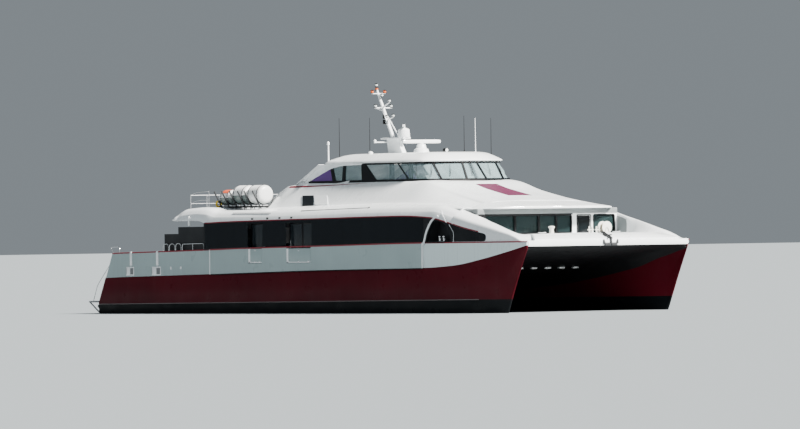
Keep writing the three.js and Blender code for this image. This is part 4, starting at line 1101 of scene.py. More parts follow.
# x edges of the panes between the door openings
DOOR_GAPS = [(-4.42, -3.10), (-0.97, 1.30)]
PANE_RUNS = [(-8.38, -4.42, 3), (-3.10, -0.97, 2), (1.30, 11.0, 7)]
PANE_JOINT = 0.014
PANE_LOW = 0.07
PANE_HIGH = 0.05


def pane(bm, side, x0, x1, low, high, proud=0.006):
    """Bonded pane following the skin between two heights that depend on x."""
    rows = []
    for x in steps(x0, x1, 0.35):
        rows.append([(x, side * (side_y(x, z) + proud), z) for z in spread(low(x), high(x), 5)])
    add_sheet(bm, rows)


for side_name, side in SIDES.items():
    bm = bmesh.new()
    for start, end, count in PANE_RUNS:
        width = (end - start) / count
        for i in range(count):
            aft = start + i * width + PANE_JOINT / 2
            pane(bm, side, aft, aft + width - PANE_JOINT,
                 lambda x: stripe_z(x) + PANE_LOW, lambda x: window_z(x) - PANE_HIGH)
    for start, end in DOOR_GAPS:
        pane(bm, side, start + PANE_JOINT / 2, end - PANE_JOINT / 2, lambda x: 4.68,
             lambda x: window_z(x) - PANE_HIGH)
    plate(bm, 0.012)
    put(f"side_panes_{side_name}", bm, TINTED,
        replaces=f"saloon_glazing_{side_name}")
    repaint(f"saloon_side_{side_name}", BAND)
print("panes a side:", sum(run[2] for run in PANE_RUNS) + len(DOOR_GAPS))

# %% [markdown]
# The sliding doors run on a track inside the wall. Each is one dark pane, or two side by side,
# in a slim black frame with a grab handle. The frame is drawn as four bars round the pane.

# %% Sliding side doors
# a door stands behind each gate; its handle is forward (1) or aft (-1)
DOORS = [(*GATES[0], 1), (*GATES[1], -1)]
DOOR_Z = (2.53, 4.68)
DOOR_Y = 5.09
DOOR_THICK = 0.045
DOOR_OVERLAP = 0.06
DOOR_GLASS = glass_finish("door_glass", (0.016, 0.021, 0.025), 0.85)
FRAME_BLACK = boat_paint("frame_black_satin", (0.0025, 0.003, 0.004), 0.4, 0.0, 0.0, 0.0, 0.2)


def framed_leaf(bm, x0, x1, y0, y1, z0, z1, width=0.07, rails=()):
    """Door leaf in the XZ plane: bars at index 0, glass at index 1."""
    add_block(bm, (x0, y0, z0), (x0 + width, y1, z1), 0, 0.008)
    add_block(bm, (x1 - width, y0, z0), (x1, y1, z1), 0, 0.008)
    add_block(bm, (x0 + width, y0, z0), (x1 - width, y1, z0 + width * 1.8), 0, 0.008)
    add_block(bm, (x0 + width, y0, z1 - width), (x1 - width, y1, z1), 0, 0.008)
    for z in rails:
        add_block(bm, (x0 + width, y0, z), (x1 - width, y1, z + width), 0, 0.008)
    inset = (y1 - y0) * 0.3
    edge = width * 0.8
    add_block(bm, (x0 + edge, y0 + inset, z0 + width), (x1 - edge, y1 - inset, z1 - edge), 1)


for side_name, side in SIDES.items():
    for door_name, x0, x1, handle in DOORS:
        body = f"door_{door_name}_{side_name}_body"
        y0, y1 = sorted((side * DOOR_Y, side * (DOOR_Y + DOOR_THICK)))
        a, b = x0 - DOOR_OVERLAP, x1 + DOOR_OVERLAP
        bm = bmesh.new()
        if b - a > 1.6:
            middle = (a + b) / 2
            framed_leaf(bm, a, middle - 0.004, y0, y1, *DOOR_Z)
            framed_leaf(bm, middle + 0.004, b, y0, y1, *DOOR_Z)
        else:
            framed_leaf(bm, a, b, y0, y1, *DOOR_Z)
        put(f"door_{door_name}_{side_name}_leaf", bm, [FRAME_BLACK, DOOR_GLASS],
            body, replaces=f"door_{door_name}_{side_name}")

        bm = bmesh.new()
        x = b - 0.13 if handle > 0 else a + 0.13
        out = side * (DOOR_Y + DOOR_THICK + 0.035)
        wall = side * (DOOR_Y + DOOR_THICK - 0.002)
        grip = [(x, wall, 3.35), (x, out, 3.35), (x, out, 3.75), (x, wall, 3.75)]
        add_tube(bm, arc_path(grip, 0.02), 0.011, 10)
        put(f"door_{door_name}_{side_name}_handle", bm, STEEL, body)
print("side doors:", 2 * len(DOORS))

# %% [markdown]
# Under the canopy the front bulkhead has a row of near-upright windows, a door to the foredeck
# and a header painted grey as painted shade under the canopy. From outside the glazing reads as one
# dark strip: black joints cover the white wall between the first four panes, and white shows only
# beside the door.

# %% Front bulkhead
FRONT_X = 14.39
# starboard edge, port edge
FRONT_PANES = [(-3.95, -2.1), (-2.03, -0.6), (-0.53, 0.5), (0.57, 1.5), (2.92, 4.25)]
PANE_Z = (3.98, 4.86)
FRONT_DOOR = (1.88, 2.7, 3.68, 4.84)
# painted shade: the header and the sides of the recess under the canopy are painted grey for the shade
# there
HEADER_SHADE_GREY = boat_paint("header_painted_shade", (0.18, 0.20, 0.205), 0.4, 0.0, 0.12, 0.0)


def window_frame(bm, x, y0, y1, z0, z1, width, proud, radius=0.06):
    """Rounded rectangular frame standing on a wall that faces +X."""
    def outline(grow):
        r = radius + grow
        points = []
        for cy, cz, start in ((y1 - radius, z1 - radius, 0), (y0 + radius, z1 - radius, 90),
                              (y0 + radius, z0 + radius, 180), (y1 - radius, z0 + radius, 270)):
            for k in range(5):
                a = math.radians(start + k * 22.5)
                points.append((cy + r * math.cos(a), cz + r * math.sin(a)))
        return points

    inner, outer_line = outline(0.0), outline(width)
    rings = [[(x + dx, y, z) for y, z in line] for line, dx in
             ((outer_line, 0.0), (outer_line, proud), (inner, proud), (inner, -0.066))]
    add_sheet(bm, rings, ring=True)


def shell_side_point(x, side, z, outermost=4.74):
    """Point just outside the upper shell's face at height z, inside a half-breadth."""
    half = shell_half(x)
    for (y0, z0), (y1, z1) in zip(half, half[1:]):
        if y0 < outermost and z0 <= z <= z1:
            y = y0 + (y1 - y0) * (z - z0) / max(z1 - z0, 1e-6)
            return (x, side * (y + 0.006), z)
    return (x, side * SHOULDER_Y, z)


repaint("front_bulkhead", WHITE)
repaint("aft_bulkhead", WHITE)
repaint("front_glazing", FRONT_GLASS)

bm = bmesh.new()
for y0, y1 in FRONT_PANES:
    window_frame(bm, FRONT_X, y0 + 0.02, y1 - 0.02, PANE_Z[0] + 0.02, PANE_Z[1] - 0.02, 0.06, 0.014)
for y in (-2.065, -0.565, 0.535):
    add_block(bm, (FRONT_X - 0.005, y - 0.03, 3.9), (FRONT_X + 0.02, y + 0.03, 4.93), bevel=0.006)
add_block(bm, (FRONT_X - 0.005, -4.424, 4.4), (FRONT_X + 0.012, -3.93, 4.95), bevel=0.004)
for z0, z1 in ((3.88, 3.96), (4.88, 4.95)):
    add_block(bm, (FRONT_X - 0.005, -4.05, z0), (FRONT_X + 0.016, 1.58, z1), bevel=0.006)
window_frame(bm, FRONT_X, FRONT_DOOR[0] - 0.015, FRONT_DOOR[1] + 0.015, FRONT_DOOR[2] - 0.02,
             FRONT_DOOR[3] + 0.015, 0.04, 0.018, 0.05)
put("front_window_frames", bm, FRAME_BLACK)

bm = bmesh.new()
add_block(bm, (FRONT_X - 0.01, -4.427, 4.95), (FRONT_X + 0.02, 4.427, 5.205), bevel=0.008)
add_block(bm, (FRONT_X - 0.005, -4.3, 3.8), (FRONT_X + 0.035, 1.6, 3.87), bevel=0.008)
# the sides of the recess are painted grey as painted shade as far as the arc where the slope to the bow
# begins
for side in SIDES.values():
    ys = sorted((side * 4.408, side * 4.424))
    arc = [(15.05, 3.52), (15.16, 3.9), (15.2, 4.38), (15.16, 4.6), (14.9, 4.68), (14.41, 4.8)]
    outline = [(14.41, 3.52)] + arc
    add_across(bm, outline, ys)
    # the same painted shade runs back over the side wall to a point above the crest of the shoulder
    rows = []
    for x in steps(12.72, 14.405, 0.065):
        top = 5.262 if x < 13.38 else CANOPY_UNDER - 0.002
        low = shoulder_z(x) + 0.012 if x < 13.38 else max(4.95, shoulder_z(x) - 0.06)
        row = []
        for z in spread(min(low, top - 0.004), top, 5):
            near = shell_side_point(min(x, 13.37), 1, max(z, 5.13))
            share = min(1.0, max(0.0, (x - 13.35) / 0.1))
            row.append((x, side * (near[1] + (4.428 - near[1]) * share), z))
        rows.append(row)
    add_sheet(bm, rows)
put("front_header_and_sides", bm, HEADER_SHADE_GREY)

bm = bmesh.new()
y0, y1, z0, z1 = FRONT_DOOR
add_block(bm, (14.345, y0 + 0.01, z0 + 0.01), (14.385, y0 + 0.08, z1 - 0.01), 0, 0.006)
add_block(bm, (14.345, y1 - 0.08, z0 + 0.01), (14.385, y1 - 0.01, z1 - 0.01), 0, 0.006)
add_block(bm, (14.345, y0 + 0.08, z0 + 0.01), (14.385, y1 - 0.08, z0 + 0.2), 0, 0.006)
add_block(bm, (14.345, y0 + 0.08, z1 - 0.09), (14.385, y1 - 0.08, z1 - 0.01), 0, 0.006)
add_block(bm, (14.355, y0 + 0.07, z0 + 0.15), (14.375, y1 - 0.07, z1 - 0.07), 1)
put("foredeck_door_leaf", bm, [FRAME_BLACK, LEAF_GLASS], "foredeck_door_body",
    replaces="foredeck_door")
bm = bmesh.new()
for z in (4.18, 4.3):
    add_turned(bm, (0, y1 - 0.045, z), ALONG, ((14.384, 0.018), (14.40, 0.018)), 12)
lever = [(14.384, y1 - 0.045, 4.24), (14.425, y1 - 0.045, 4.24), (14.425, y1 - 0.17, 4.24)]
add_tube(bm, arc_path(lever, 0.015), 0.009, 8)
put("foredeck_door_handle", bm, STEEL, "foredeck_door_body")
print("front bulkhead:", len(FRONT_PANES), "windows and a door")

# %% [markdown]
# The foredeck is a crowned plate that rises to a white cowl and turns down in a lip across the
# bow. Its walking part is coated in pinkish grey non-slip grit.


# %% Foredeck
def grit_finish(name, light, dark):
    finish = Finish(name, light, 0.85)
    patches = finish.band(finish.noise(0.9), 0.3, 0.7)
    base = finish.mix(patches, light, dark)
    specks = finish.band(finish.noise(0.02, detail=2.0), 0.52, 0.6, 0.0, 0.5)
    finish.paint(finish.mix(specks, base, darker(dark, 0.6)))
    finish.bump(finish.noise(0.012, detail=2.0), 0.002)
    return finish.material


FOREDECK_GRIT = grit_finish("foredeck_grit_pinkish", (0.50, 0.43, 0.43), (0.41, 0.36, 0.37))
DECK_GRIT = grit_finish("main_deck_grit_grey", (0.20, 0.205, 0.21), (0.15, 0.155, 0.16))
GRIT_END_X = 18.3

repaint("main_deck", DECK_GRIT)


def foredeck_row(x):
    half = slope_foot_y(x) - 0.002
    z = foredeck_z(x)
    line = [(half, BOW_TOP_Z + 0.004), (half, z - 0.06), (half - 0.03, z - 0.02), (half - 0.09, z)]
    line += [(y, z + 0.03 * (1 - y / half)) for y in (3.2, 1.6)]
    return ([(x, y, v) for y, v in line] + [(x, 0, z + 0.03)] + [(x, -y, v) for y, v in reversed(line)])


bm = bmesh.new()
xs = steps(14.42, GRIT_END_X, 0.12) + steps(GRIT_END_X + 0.05, 18.9, 0.12) + steps(18.95, 19.3, 0.06)
add_solid(bm, [foredeck_row(x) for x in xs])
for face in bm.faces:
    centre = face.calc_center_median()
    if centre.x < GRIT_END_X and face.normal.z != 0 and centre.z > foredeck_z(centre.x) - 0.03:
        face.material_index = 1
# the lip: a rounded fold across the bow
lip_profile = [(19.15, 3.42), (19.15, 3.56), (19.28, 3.6), (19.36, 3.6), (19.405, 3.575),
               (19.42, 3.53), (19.42, 3.34), (19.41, 3.315), (19.33, 3.31), (19.305, 3.33),
               (19.305, 3.42)]
add_across(bm, lip_profile, spread(-5.03, 5.03, 27))
put("foredeck_plate", bm, [WHITE, FOREDECK_GRIT], angle=30, replaces="foredeck")
print("foredeck, gritted aft of x =", GRIT_END_X)

# %% [markdown]
# Mooring gear on the foredeck: horn cleats, two double bitts and a single post, a small hawser
# reel on a stand, and the anchor lying over the lip on its shank.

# %% Bow fittings
GALV = Finish("galvanised_steel", (0.36, 0.375, 0.385), 0.48, metallic=0.85)
GALV.paint(GALV.mix(GALV.band(GALV.noise(0.05), 0.4, 0.6), (0.40, 0.41, 0.42), (0.28, 0.29, 0.30)))
GALV = GALV.material
DARK_STEEL = Finish("dark_weathered_steel", (0.022, 0.024, 0.026), 0.65, metallic=0.1).material
ROPE = Finish("hawser_rope", (0.34, 0.30, 0.22), 0.9)
ROPE.bump(ROPE.maths("SINE", ROPE.maths("MULTIPLY", ROPE.part("X"), 220.0), 0), 0.003)
ROPE = ROPE.material
GEAR_CREAM = boat_paint("deck_gear_cream", (0.74, 0.73, 0.68), 0.4, 0.0, 0.2, 0.1)


def cleat(bm, x, y, z):
    """Horn cleat lying across the deck."""
    for dy in (-0.08, 0.08):
        add_turned(bm, (x, y + dy, z), UP, ((0, 0.045), (0.03, 0.03), (0.11, 0.028)), 12)
    horn = [(x, y + dy, z + h) for dy, h in
            ((-0.24, 0.135), (-0.12, 0.12), (0, 0.115), (0.12, 0.12), (0.24, 0.135))]
    add_tube(bm, rounded(horn, 4), 0.026, 10)


bm = bmesh.new()
for side in SIDES.values():
    for x, y in ((17.0, 2.35), (16.3, 3.55), (14.9, 4.1)):
        cleat(bm, x, side * y, foredeck_z(x) + 0.01)
put("foredeck_cleats", bm, GALV)

# two white double bitts with a cross bar each, and a single post to starboard
bm = bmesh.new()
base = foredeck_z(17.0) + 0.012
for middle in (0.72, 1.18):
    add_block(bm, (16.88, middle - 0.17, base), (17.12, middle + 0.17, base + 0.02), bevel=0.006)
    for y in (middle - 0.085, middle + 0.085):
        add_turned(bm, (17.0, y, base), UP, ((0.015, 0.05), (0.05, 0.04), (0.34, 0.04),
                                             (0.37, 0.05), (0.4, 0.045), (0.41, 0.0)), 18)
    add_tube(bm, [(17.0, middle - 0.19, base + 0.24), (17.0, middle + 0.19, base + 0.24)], 0.026, 10)
add_turned(bm, (17.0, -1.75, base), UP,
           ((0, 0.26), (0.03, 0.24), (0.07, 0.13), (0.26, 0.105), (0.34, 0.12), (0.38, 0.17),
            (0.42, 0.17), (0.45, 0.12), (0.46, 0.0)), 28)
put("foredeck_bitts", bm, GEAR_CREAM)

# the reel stands across the deck, its round flanges facing the bow
REEL = Vector((17.0, 1.62, 4.22))
REEL_RADIUS = 0.3
bm = bmesh.new()
for x0, x1 in ((-0.2, -0.16), (0.16, 0.2)):
    add_turned(bm, REEL, ALONG, ((x0, REEL_RADIUS - 0.015), (x0 + 0.006, REEL_RADIUS),
                                 (x1 - 0.006, REEL_RADIUS), (x1, REEL_RADIUS - 0.015)), 40)
for x in (-0.23, 0.23):
    for dy in (-0.16, 0.16):
        add_tube(bm, [REEL + Vector((x, dy, -0.31)), REEL + Vector((x, dy * 0.2, 0.02))], 0.024, 8)
add_block(bm, (16.7, 1.42, 3.913), (17.3, 1.82, 3.938), bevel=0.006)
add_turned(bm, REEL, ALONG, ((-0.262, 0.0), (-0.262, 0.03), (-0.2, 0.045), (0.2, 0.045),
                             (0.262, 0.03), (0.262, 0.0)))
put("hawser_reel_frame", bm, GEAR_CREAM, replaces="hawser_reel")
bm = bmesh.new()
coil = []
for i in range(8):
    x = -0.14 + i * 0.04
    coil += [(x - 0.018, 0.17), (x, 0.19), (x + 0.018, 0.17)]
add_turned(bm, REEL, ALONG, coil, 32)
put("hawser_on_reel", bm, ROPE)

# anchor: two shank bars over the lip, a broad crown across the bow and two short flukes
bm = bmesh.new()
for y in (0.04, 0.2):
    add_tube(bm, [(18.75, y, 3.98), (19.3, y, 3.74), (19.44, y, 3.66)], 0.04, 10)
add_tube(bm, [(19.45, 0.12, 3.68), (19.475, 0.12, 3.5), (19.475, 0.12, 3.38)], 0.05, 10)
for y0, y1 in ((-0.3, 0.07), (0.13, 0.5)):
    add_block(bm, (19.435, y0, 3.28), (19.51, y1, 3.45), bevel=0.03)
for y, lean in ((-0.3, -1), (0.5, 1)):
    rings = []
    for t in spread(0, 1, 6):
        z = 3.4 + 0.22 * t
        w = 0.075 * (1 - t * 0.75)
        at = y + lean * 0.04 * t
        rings.append([(19.465 + dx, at + dy, z) for dx, dy in
                      ((-0.02, -w), (0.02, -w), (0.02, w), (-0.02, w))])
    add_solid(bm, rings)
add_tube(bm, [(18.77, 0.12, 3.98), (18.6, 0.12, 3.99), (18.4, 0.12, 3.965)], 0.022, 8)
for y in (-0.02, 0.26):
    add_block(bm, (18.95, y - 0.02, 3.8), (19.33, y + 0.02, 3.86), bevel=0.006)
put("bow_anchor", bm, DARK_STEEL, replaces="anchor")
print("cleats, bitts, reel and anchor")

# %% [markdown]
# The wheelhouse is a faceted ring of windows that leans inward, under a thick white roof with a
# visor. Its plan is given at the base and at the roof, so any point on a wall is found by how
# far round it is and how high. Walls, pillars and panes all come from that one function.

# %% Wheelhouse walls and windows
# half plan from aft to the nose: base x, base half-breadth, roof x, roof half-breadth
WHEEL = [
    (-3.95, 2.8, -1.5, 2.5), (-1.6, 2.86, 0.4, 2.52), (1.2, 2.92, 2.2, 2.6),
    (4.2, 2.92, 4.3, 2.6), (6.9, 2.92, 6.1, 2.58), (8.0, 2.65, 7.15, 2.45), (8.5, 1.6, 7.6, 1.5),
    (8.7, 0.5, 7.8, 0.45),
]
WHEEL_BASE = 6.5
WHEEL_TOP = 7.7
WHEEL_SILL = 6.86
WHEEL_HEAD = 7.62
NOSE = len(WHEEL) - 1
# middle, half length and half breadth, by which an inset from the wall is scaled
WHEEL_MIDDLE_X = 2.6
WHEEL_HALF_LENGTH = 5.2
WHEEL_HALF_BREADTH = 2.75


def wheel_point(t, z, inset=0.0):
    """Point on the wheelhouse wall: t runs from 0 aft to the nose, then on round the port side."""
    mirror = 1
    if t > NOSE + 1:
        t, mirror = 2 * NOSE + 1 - t, -1
    k = (z - WHEEL_BASE) / (WHEEL_TOP - WHEEL_BASE)
    if t > NOSE:
        a = WHEEL[NOSE]
        x = a[0] * (1 - k) + a[2] * k
        y = (a[1] * (1 - k) + a[3] * k) * (1 - 2 * (t - NOSE))
    else:
        i = min(int(t), NOSE - 1)
        f = t - i
        base = [WHEEL[i][c] * (1 - f) + WHEEL[i + 1][c] * f for c in range(4)]
        x = base[0] * (1 - k) + base[2] * k
        y = base[1] * (1 - k) + base[3] * k
    x = WHEEL_MIDDLE_X + (x - WHEEL_MIDDLE_X) * (1 - inset / WHEEL_HALF_LENGTH)
    return Vector((x, -mirror * y * (1 - inset / WHEEL_HALF_BREADTH), z))


WINDOW_RING = 2 * NOSE + 1


def wall_patch(bm, t0, t1, z0, z1, thickness=0.08):
    """Thin solid patch of the wheelhouse wall between two shares of its ring."""
    shares = spread(t0, t1, 6)
    outer, inner = ([[wheel_point(t, z, skin) for t in shares] for z in spread(z0, z1, 4)]
                    for skin in (0.0, thickness))
    for k in range(3):
        ring0, ring1 = outer[k] + inner[k][::-1], outer[k + 1] + inner[k + 1][::-1]
        add_sheet(bm, [ring0, ring1], ring=True)
    for k in (0, 3):
        add_sheet(bm, [outer[k], inner[k]])


# aft and forward edge of each side pillar, at the sill and at the head
PILLARS = [(-0.36, -0.14, -0.98, -0.78), (0.5, 0.74, 0.26, 0.43), (2.3, 3.56, 1.96, 2.31),
           (6.31, 6.41, 5.13, 5.23)]
# front pillars: half-breadth at the sill and at the head
FRONT_PILLARS = [(1.98, 2.0), (0.62, 0.47)]


def halving(low, high, before):
    """Value between low and high up to which before(value) holds, by halving the span."""
    for _ in range(24):
        middle = (low + high) / 2
        low, high = (middle, high) if before(middle) else (low, middle)
    return low


def share_of_x(x, z):
    """Ring share on one side where the wall is at length x."""
    return halving(0.0, float(NOSE), lambda t: wheel_point(t, z).x < x)


def share_of_y(y, z):
    """Ring share on the front where the wall is at half-breadth y."""
    return halving(4.0, NOSE + 0.5, lambda t: abs(wheel_point(t, z).y) > y)


def ring_share(t, side):
    return t if side < 0 else WINDOW_RING - t


bm = bmesh.new()
for side in SIDES.values():
    last = NOSE + 0.5
    spans = [(i, i + 1) for i in range(NOSE)] + [(NOSE, last)]
    for t0, t1 in spans:
        a, b = sorted((ring_share(t0, side), ring_share(t1, side)))
        low = WHEEL_BASE if t0 >= 1 else 6.2
        wall_patch(bm, a, b, low, WHEEL_SILL - 0.03)
        wall_patch(bm, a, b, WHEEL_HEAD, WHEEL_TOP - 0.002)
    for kind, table in ((share_of_x, PILLARS), (share_of_y, FRONT_PILLARS)):
        for entry in table:
            rings = []
            for k in spread(0, 1, 4):
                z = WHEEL_SILL - 0.05 + (WHEEL_HEAD + 0.07 - WHEEL_SILL) * k
                if kind is share_of_x:
                    first, last = (kind(entry[i] + (entry[i + 2] - entry[i]) * k, z) for i in (0, 1))
                else:
                    y = entry[0] + (entry[1] - entry[0]) * k
                    first, last = kind(y + 0.05, z), kind(y - 0.05, z)
                shares = spread(ring_share(first, side), ring_share(last, side), 3)
                rings.append([wheel_point(t, z, -0.008) for t in shares]
                             + [wheel_point(t, z, 0.075) for t in reversed(shares)])
            add_solid(bm, rings)
put("wheelhouse_walls", bm, FRAME_BLACK, angle=25, replaces="wheelhouse_frame")

# aft, the wall is a white fairing that sweeps up to the roof. On each side the window band
# is drawn out into it to a point, glazed in violet.
POINT_X = -2.42
band_top = smooth([(POINT_X, WHEEL_SILL + 0.005), (-1.53, 7.2), (-0.71, 7.47), (0.25, 7.6),
                   (1.3, WHEEL_HEAD)])

# the dark sill below the glass is deeper aft
sill_top = smooth([(-2.75, WHEEL_SILL - 0.03), (-2.4, WHEEL_SILL - 0.13), (0.2, WHEEL_SILL - 0.15),
                   (1.15, WHEEL_SILL - 0.03)])


def violet_end(z):
    """Length at which the pillar ahead of the violet pane stands, at height z."""
    return -0.3 - 0.6 * (z - WHEEL_SILL) / 0.7


bm = bmesh.new()
glass = bmesh.new()
for side in SIDES.values():
    columns = spread(0.0, 1.9, 39)
    above, low, panes = [], [], []
    for t in columns:
        share = ring_share(t, side)
        z = WHEEL_SILL
        for _ in range(12):
            x = wheel_point(share, z).x
            z = WHEEL_SILL - 0.03
            if x > POINT_X:
                z = max(z, min(WHEEL_HEAD, band_top(x)))
        above.append([wheel_point(share, h, -0.012) for h in spread(z, WHEEL_TOP - 0.002, 9)])
        foot_top = sill_top(wheel_point(share, WHEEL_SILL - 0.1).x)
        low.append([wheel_point(share, h, -0.012) for h in spread(6.3, foot_top, 4)])
    for s in spread(0, 1, 15):
        column = []
        for k in spread(0, 1, 7):
            z = WHEEL_SILL
            for _ in range(10):
                x = POINT_X + (violet_end(z) - POINT_X) * s
                top = max(WHEEL_SILL, min(WHEEL_HEAD, band_top(x) + 0.02))
                z = WHEEL_SILL - 0.05 + (top - WHEEL_SILL + 0.05) * k
            column.append(wheel_point(ring_share(share_of_x(x, z), side), z, 0.03))
        panes.append(column)
    add_sheet(bm, above)
    add_sheet(bm, low)
    add_sheet(glass, panes)
aft_low, aft_high = wheel_point(0, 6.3, -0.012), wheel_point(0, WHEEL_TOP - 0.002, -0.012)
add_sheet(bm, [[Vector((p.x, y, p.z)) for p in (aft_low, aft_low.lerp(aft_high, 0.5), aft_high)]
               for y in spread(-abs(aft_low.y), abs(aft_low.y), 9)])
plate(bm, 0.015)
plate(glass, 0.015)
put("wheelhouse_aft_fairing", bm, WHITE)
put("wheelhouse_violet_panes", glass, VIOLET)

bm = bmesh.new()
for side in SIDES.values():
    columns = []
    for s in spread(0, 1, 25):
        column = []
        for k in spread(0, 1, 5):
            z = WHEEL_SILL - 0.06 + (WHEEL_HEAD + 0.09 - WHEEL_SILL) * k
            start = share_of_x(violet_end(z), z)
            column.append(wheel_point(ring_share(start + (NOSE + 0.5 - start) * s, side), z, 0.045))
        columns.append(column)
    add_sheet(bm, columns)
plate(bm, 0.012)
put("wheelhouse_panes", bm, CLEAR, angle=20, replaces="wheelhouse_glazing")

# two dark posts under the mast carry it down to the bridge floor
bm = bmesh.new()
for x, half in ((1.05, 0.1), (2.72, 0.08)):
    add_block(bm, (x - half, -0.1, 5.75), (x + half, 0.1, 7.7), bevel=0.02)
put("mast_posts", bm, FRAME_BLACK)

# wipers: an arm and a blade on each front pane, parked low
bm = bmesh.new()
for t in (4.5, 5.4, 6.3, 7.5, 8.7, 9.6, 10.5):
    foot = wheel_point(t, WHEEL_HEAD - 0.03, -0.03)
    tip = wheel_point(t - 0.22, WHEEL_SILL + 0.12, -0.03)
    add_tube(bm, [foot, tip], 0.009, 6)
    blade_end = tip.lerp(foot, 0.55) + Vector((0.0, 0.04, 0.0))
    add_tube(bm, [tip + Vector((0, 0, -0.03)), blade_end], 0.007, 6)
put("wheelhouse_wipers", bm, RUBBER)

# small dark side window low in the bonnet's flank, with a raised white panel ahead of it
bm = bmesh.new()
panel = bmesh.new()
for side in SIDES.values():
    for made, aft, fore in ((bm, 0.0, 1.0), (panel, 1.06, 2.25)):
        rows = []
        for t in spread(0, 1, 5):
            z = (5.53 if made is bm else 5.6) + (0.55 if made is bm else 0.46) * t
            start = -1.49 - 0.62 * t
            rows.append([shell_side_point(start + x, side, z, 4.1) for x in spread(aft, fore, 5)])
        add_sheet(made, rows)
for made in (bm, panel):
    bmesh.ops.recalc_face_normals(made, faces=made.faces)
    thicken(made, -0.03)
put("bonnet_side_windows", bm, TINTED)
put("bonnet_side_panels", panel, WHITE)
print("wheelhouse:", 2 * len(PILLARS), "pillars")

# %% [markdown]
# The roof is a thick slab with a sharp lip over the front windows. Its top rises in a long curve
# from the aft fairing and is nearly flat forward. It carries the radar pedestal.

# %% Wheelhouse roof
RADAR_X = 3.66
# height, how far outside the wall line, furthest aft that the layer reaches
ROOF_LAYERS = [(7.703, 0.03, -1.48), (7.715, 0.1, -1.46), (7.75, 0.16, -1.44), (7.785, 0.15, -1.38),
               (7.88, 0.01, -1.2), (8.0, -0.2, -0.8), (8.12, -0.44, -0.35), (8.17, -0.62, -0.05),
               (8.195, -0.8, 0.18), (8.204, -0.98, 0.4), (8.21, -1.4, 1.0)]


def roof_ring(z, out, aft):
    base = [wheel_point(t, WHEEL_TOP, -out) for t in range(0, WINDOW_RING + 1)]
    ring = []
    for i, p in enumerate(base):
        q = base[(i + 1) % len(base)]
        cuts = 16 if i == len(base) - 1 else 4
        for k in range(cuts):
            ring.append(p.lerp(q, k / cuts))
    count = len(ring)
    ring = [(ring[i - 1] + ring[i] * 2 + ring[(i + 1) % count]) / 4 for i in range(count)]
    return [(max(p.x, aft + 0.12 * (abs(p.y) / 2.6) ** 2), p.y, z) for p in ring]


bm = bmesh.new()
add_solid(bm, [roof_ring(*layer) for layer in ROOF_LAYERS])
add_turned(bm, (RADAR_X, 0, 0), UP, ((8.1, 0.44), (8.22, 0.41), (8.4, 0.36), (8.42, 0.30),
                                     (8.44, 0.27), (8.63, 0.22), (8.655, 0.2)), 32)
put("wheelhouse_roof_skin", bm, WHITE, angle=40, replaces="wheelhouse_roof")

# %% [markdown]
# Inside, the bridge has a grey console with screens under the front windows, two chairs on
# pedestals, and a floor. It is all seen through clear glass against the sky.

# %% Bridge inside
BRIDGE_Z = 5.75
BRIDGE_GREY = boat_paint("bridge_console_grey", (0.13, 0.14, 0.15), 0.5, 0.0, 0.0, 0.0)
BRIDGE_FLOOR = Finish("bridge_carpet", (0.05, 0.06, 0.08), 0.95).material
SCREEN = Finish("bridge_screen", (0.01, 0.014, 0.02), 0.12).material
bm = bmesh.new()
add_block(bm, (-1.2, -2.4, BRIDGE_Z - 0.05), (6.9, 2.4, BRIDGE_Z), 1)
for x0, x1, y0, y1 in ((-0.8, -0.74, -0.5, 0.5), (0.74, 0.8, -0.5, 0.5),
                       (-0.74, 0.74, -0.5, -0.44), (-0.74, 0.74, 0.44, 0.5)):
    add_block(bm, (x0, y0, 4.94), (x1, y1, BRIDGE_Z - 0.04))
profile = [(6.75, BRIDGE_Z - 0.02), (7.08, 6.48), (7.1, 6.58), (7.02, 6.64), (6.78, 6.7), (6.62, 6.69),
           (6.22, 6.5), (6.2, 6.44), (6.24, BRIDGE_Z - 0.02)]
add_across(bm, profile, (-1.8, -1.78, 1.78, 1.8))
put("bridge_console", bm, [BRIDGE_GREY, BRIDGE_FLOOR], replaces="bridge_deck")

bm = bmesh.new()
tilt = Matrix.Rotation(math.radians(-26), 3, "Y")
for y in (-1.35, -0.7, 0.0, 0.7, 1.35):
    earlier = set(bm.verts)
    add_block(bm, (-0.17, -0.24, -0.008), (0.17, 0.24, 0.012), bevel=0.006)
    for vert in bm.verts:
        if vert not in earlier:
            vert.co = tilt @ vert.co + Vector((6.43, y, 6.615))
put("bridge_screens", bm, SCREEN)

bm = bmesh.new()
for side in SIDES.values():
    y = side * 0.75
    add_turned(bm, (5.1, y, 0), UP, ((BRIDGE_Z, 0.2), (BRIDGE_Z + 0.03, 0.19),
                                     (BRIDGE_Z + 0.07, 0.07), (6.2, 0.055), (6.24, 0.12)), 20)
    add_block(bm, (4.84, y - 0.25, 6.23), (5.38, y + 0.25, 6.36), bevel=0.045)
    back = [(4.72, 6.34), (4.84, 6.34), (4.87, 6.7), (4.85, 7.06), (4.8, 7.12), (4.74, 7.08),
            (4.73, 6.8)]
    add_across(bm, back, [y + w for w in (-0.24, -0.22, 0.22, 0.24)])
    for w in (-0.29, 0.29):
        add_block(bm, (4.86, y + w - 0.025, 6.5), (5.25, y + w + 0.025, 6.55), bevel=0.015)
        add_tube(bm, [(4.9, y + w * 0.86, 6.3), (4.9, y + w, 6.36), (4.9, y + w, 6.52)], 0.014, 8)
put("helm_chairs", bm, BRIDGE_GREY)
print("bridge: console, screens, two chairs")

# %% [markdown]
# Above the roof stand a boxy pylon with a radar platform, the raked light mast with its lamp
# boxes and yards, two turning radar scanners, whip aerials along the roof's front edge, a
# searchlight and an aft light staff. Thin things are tubes; lamps are small turned shapes.

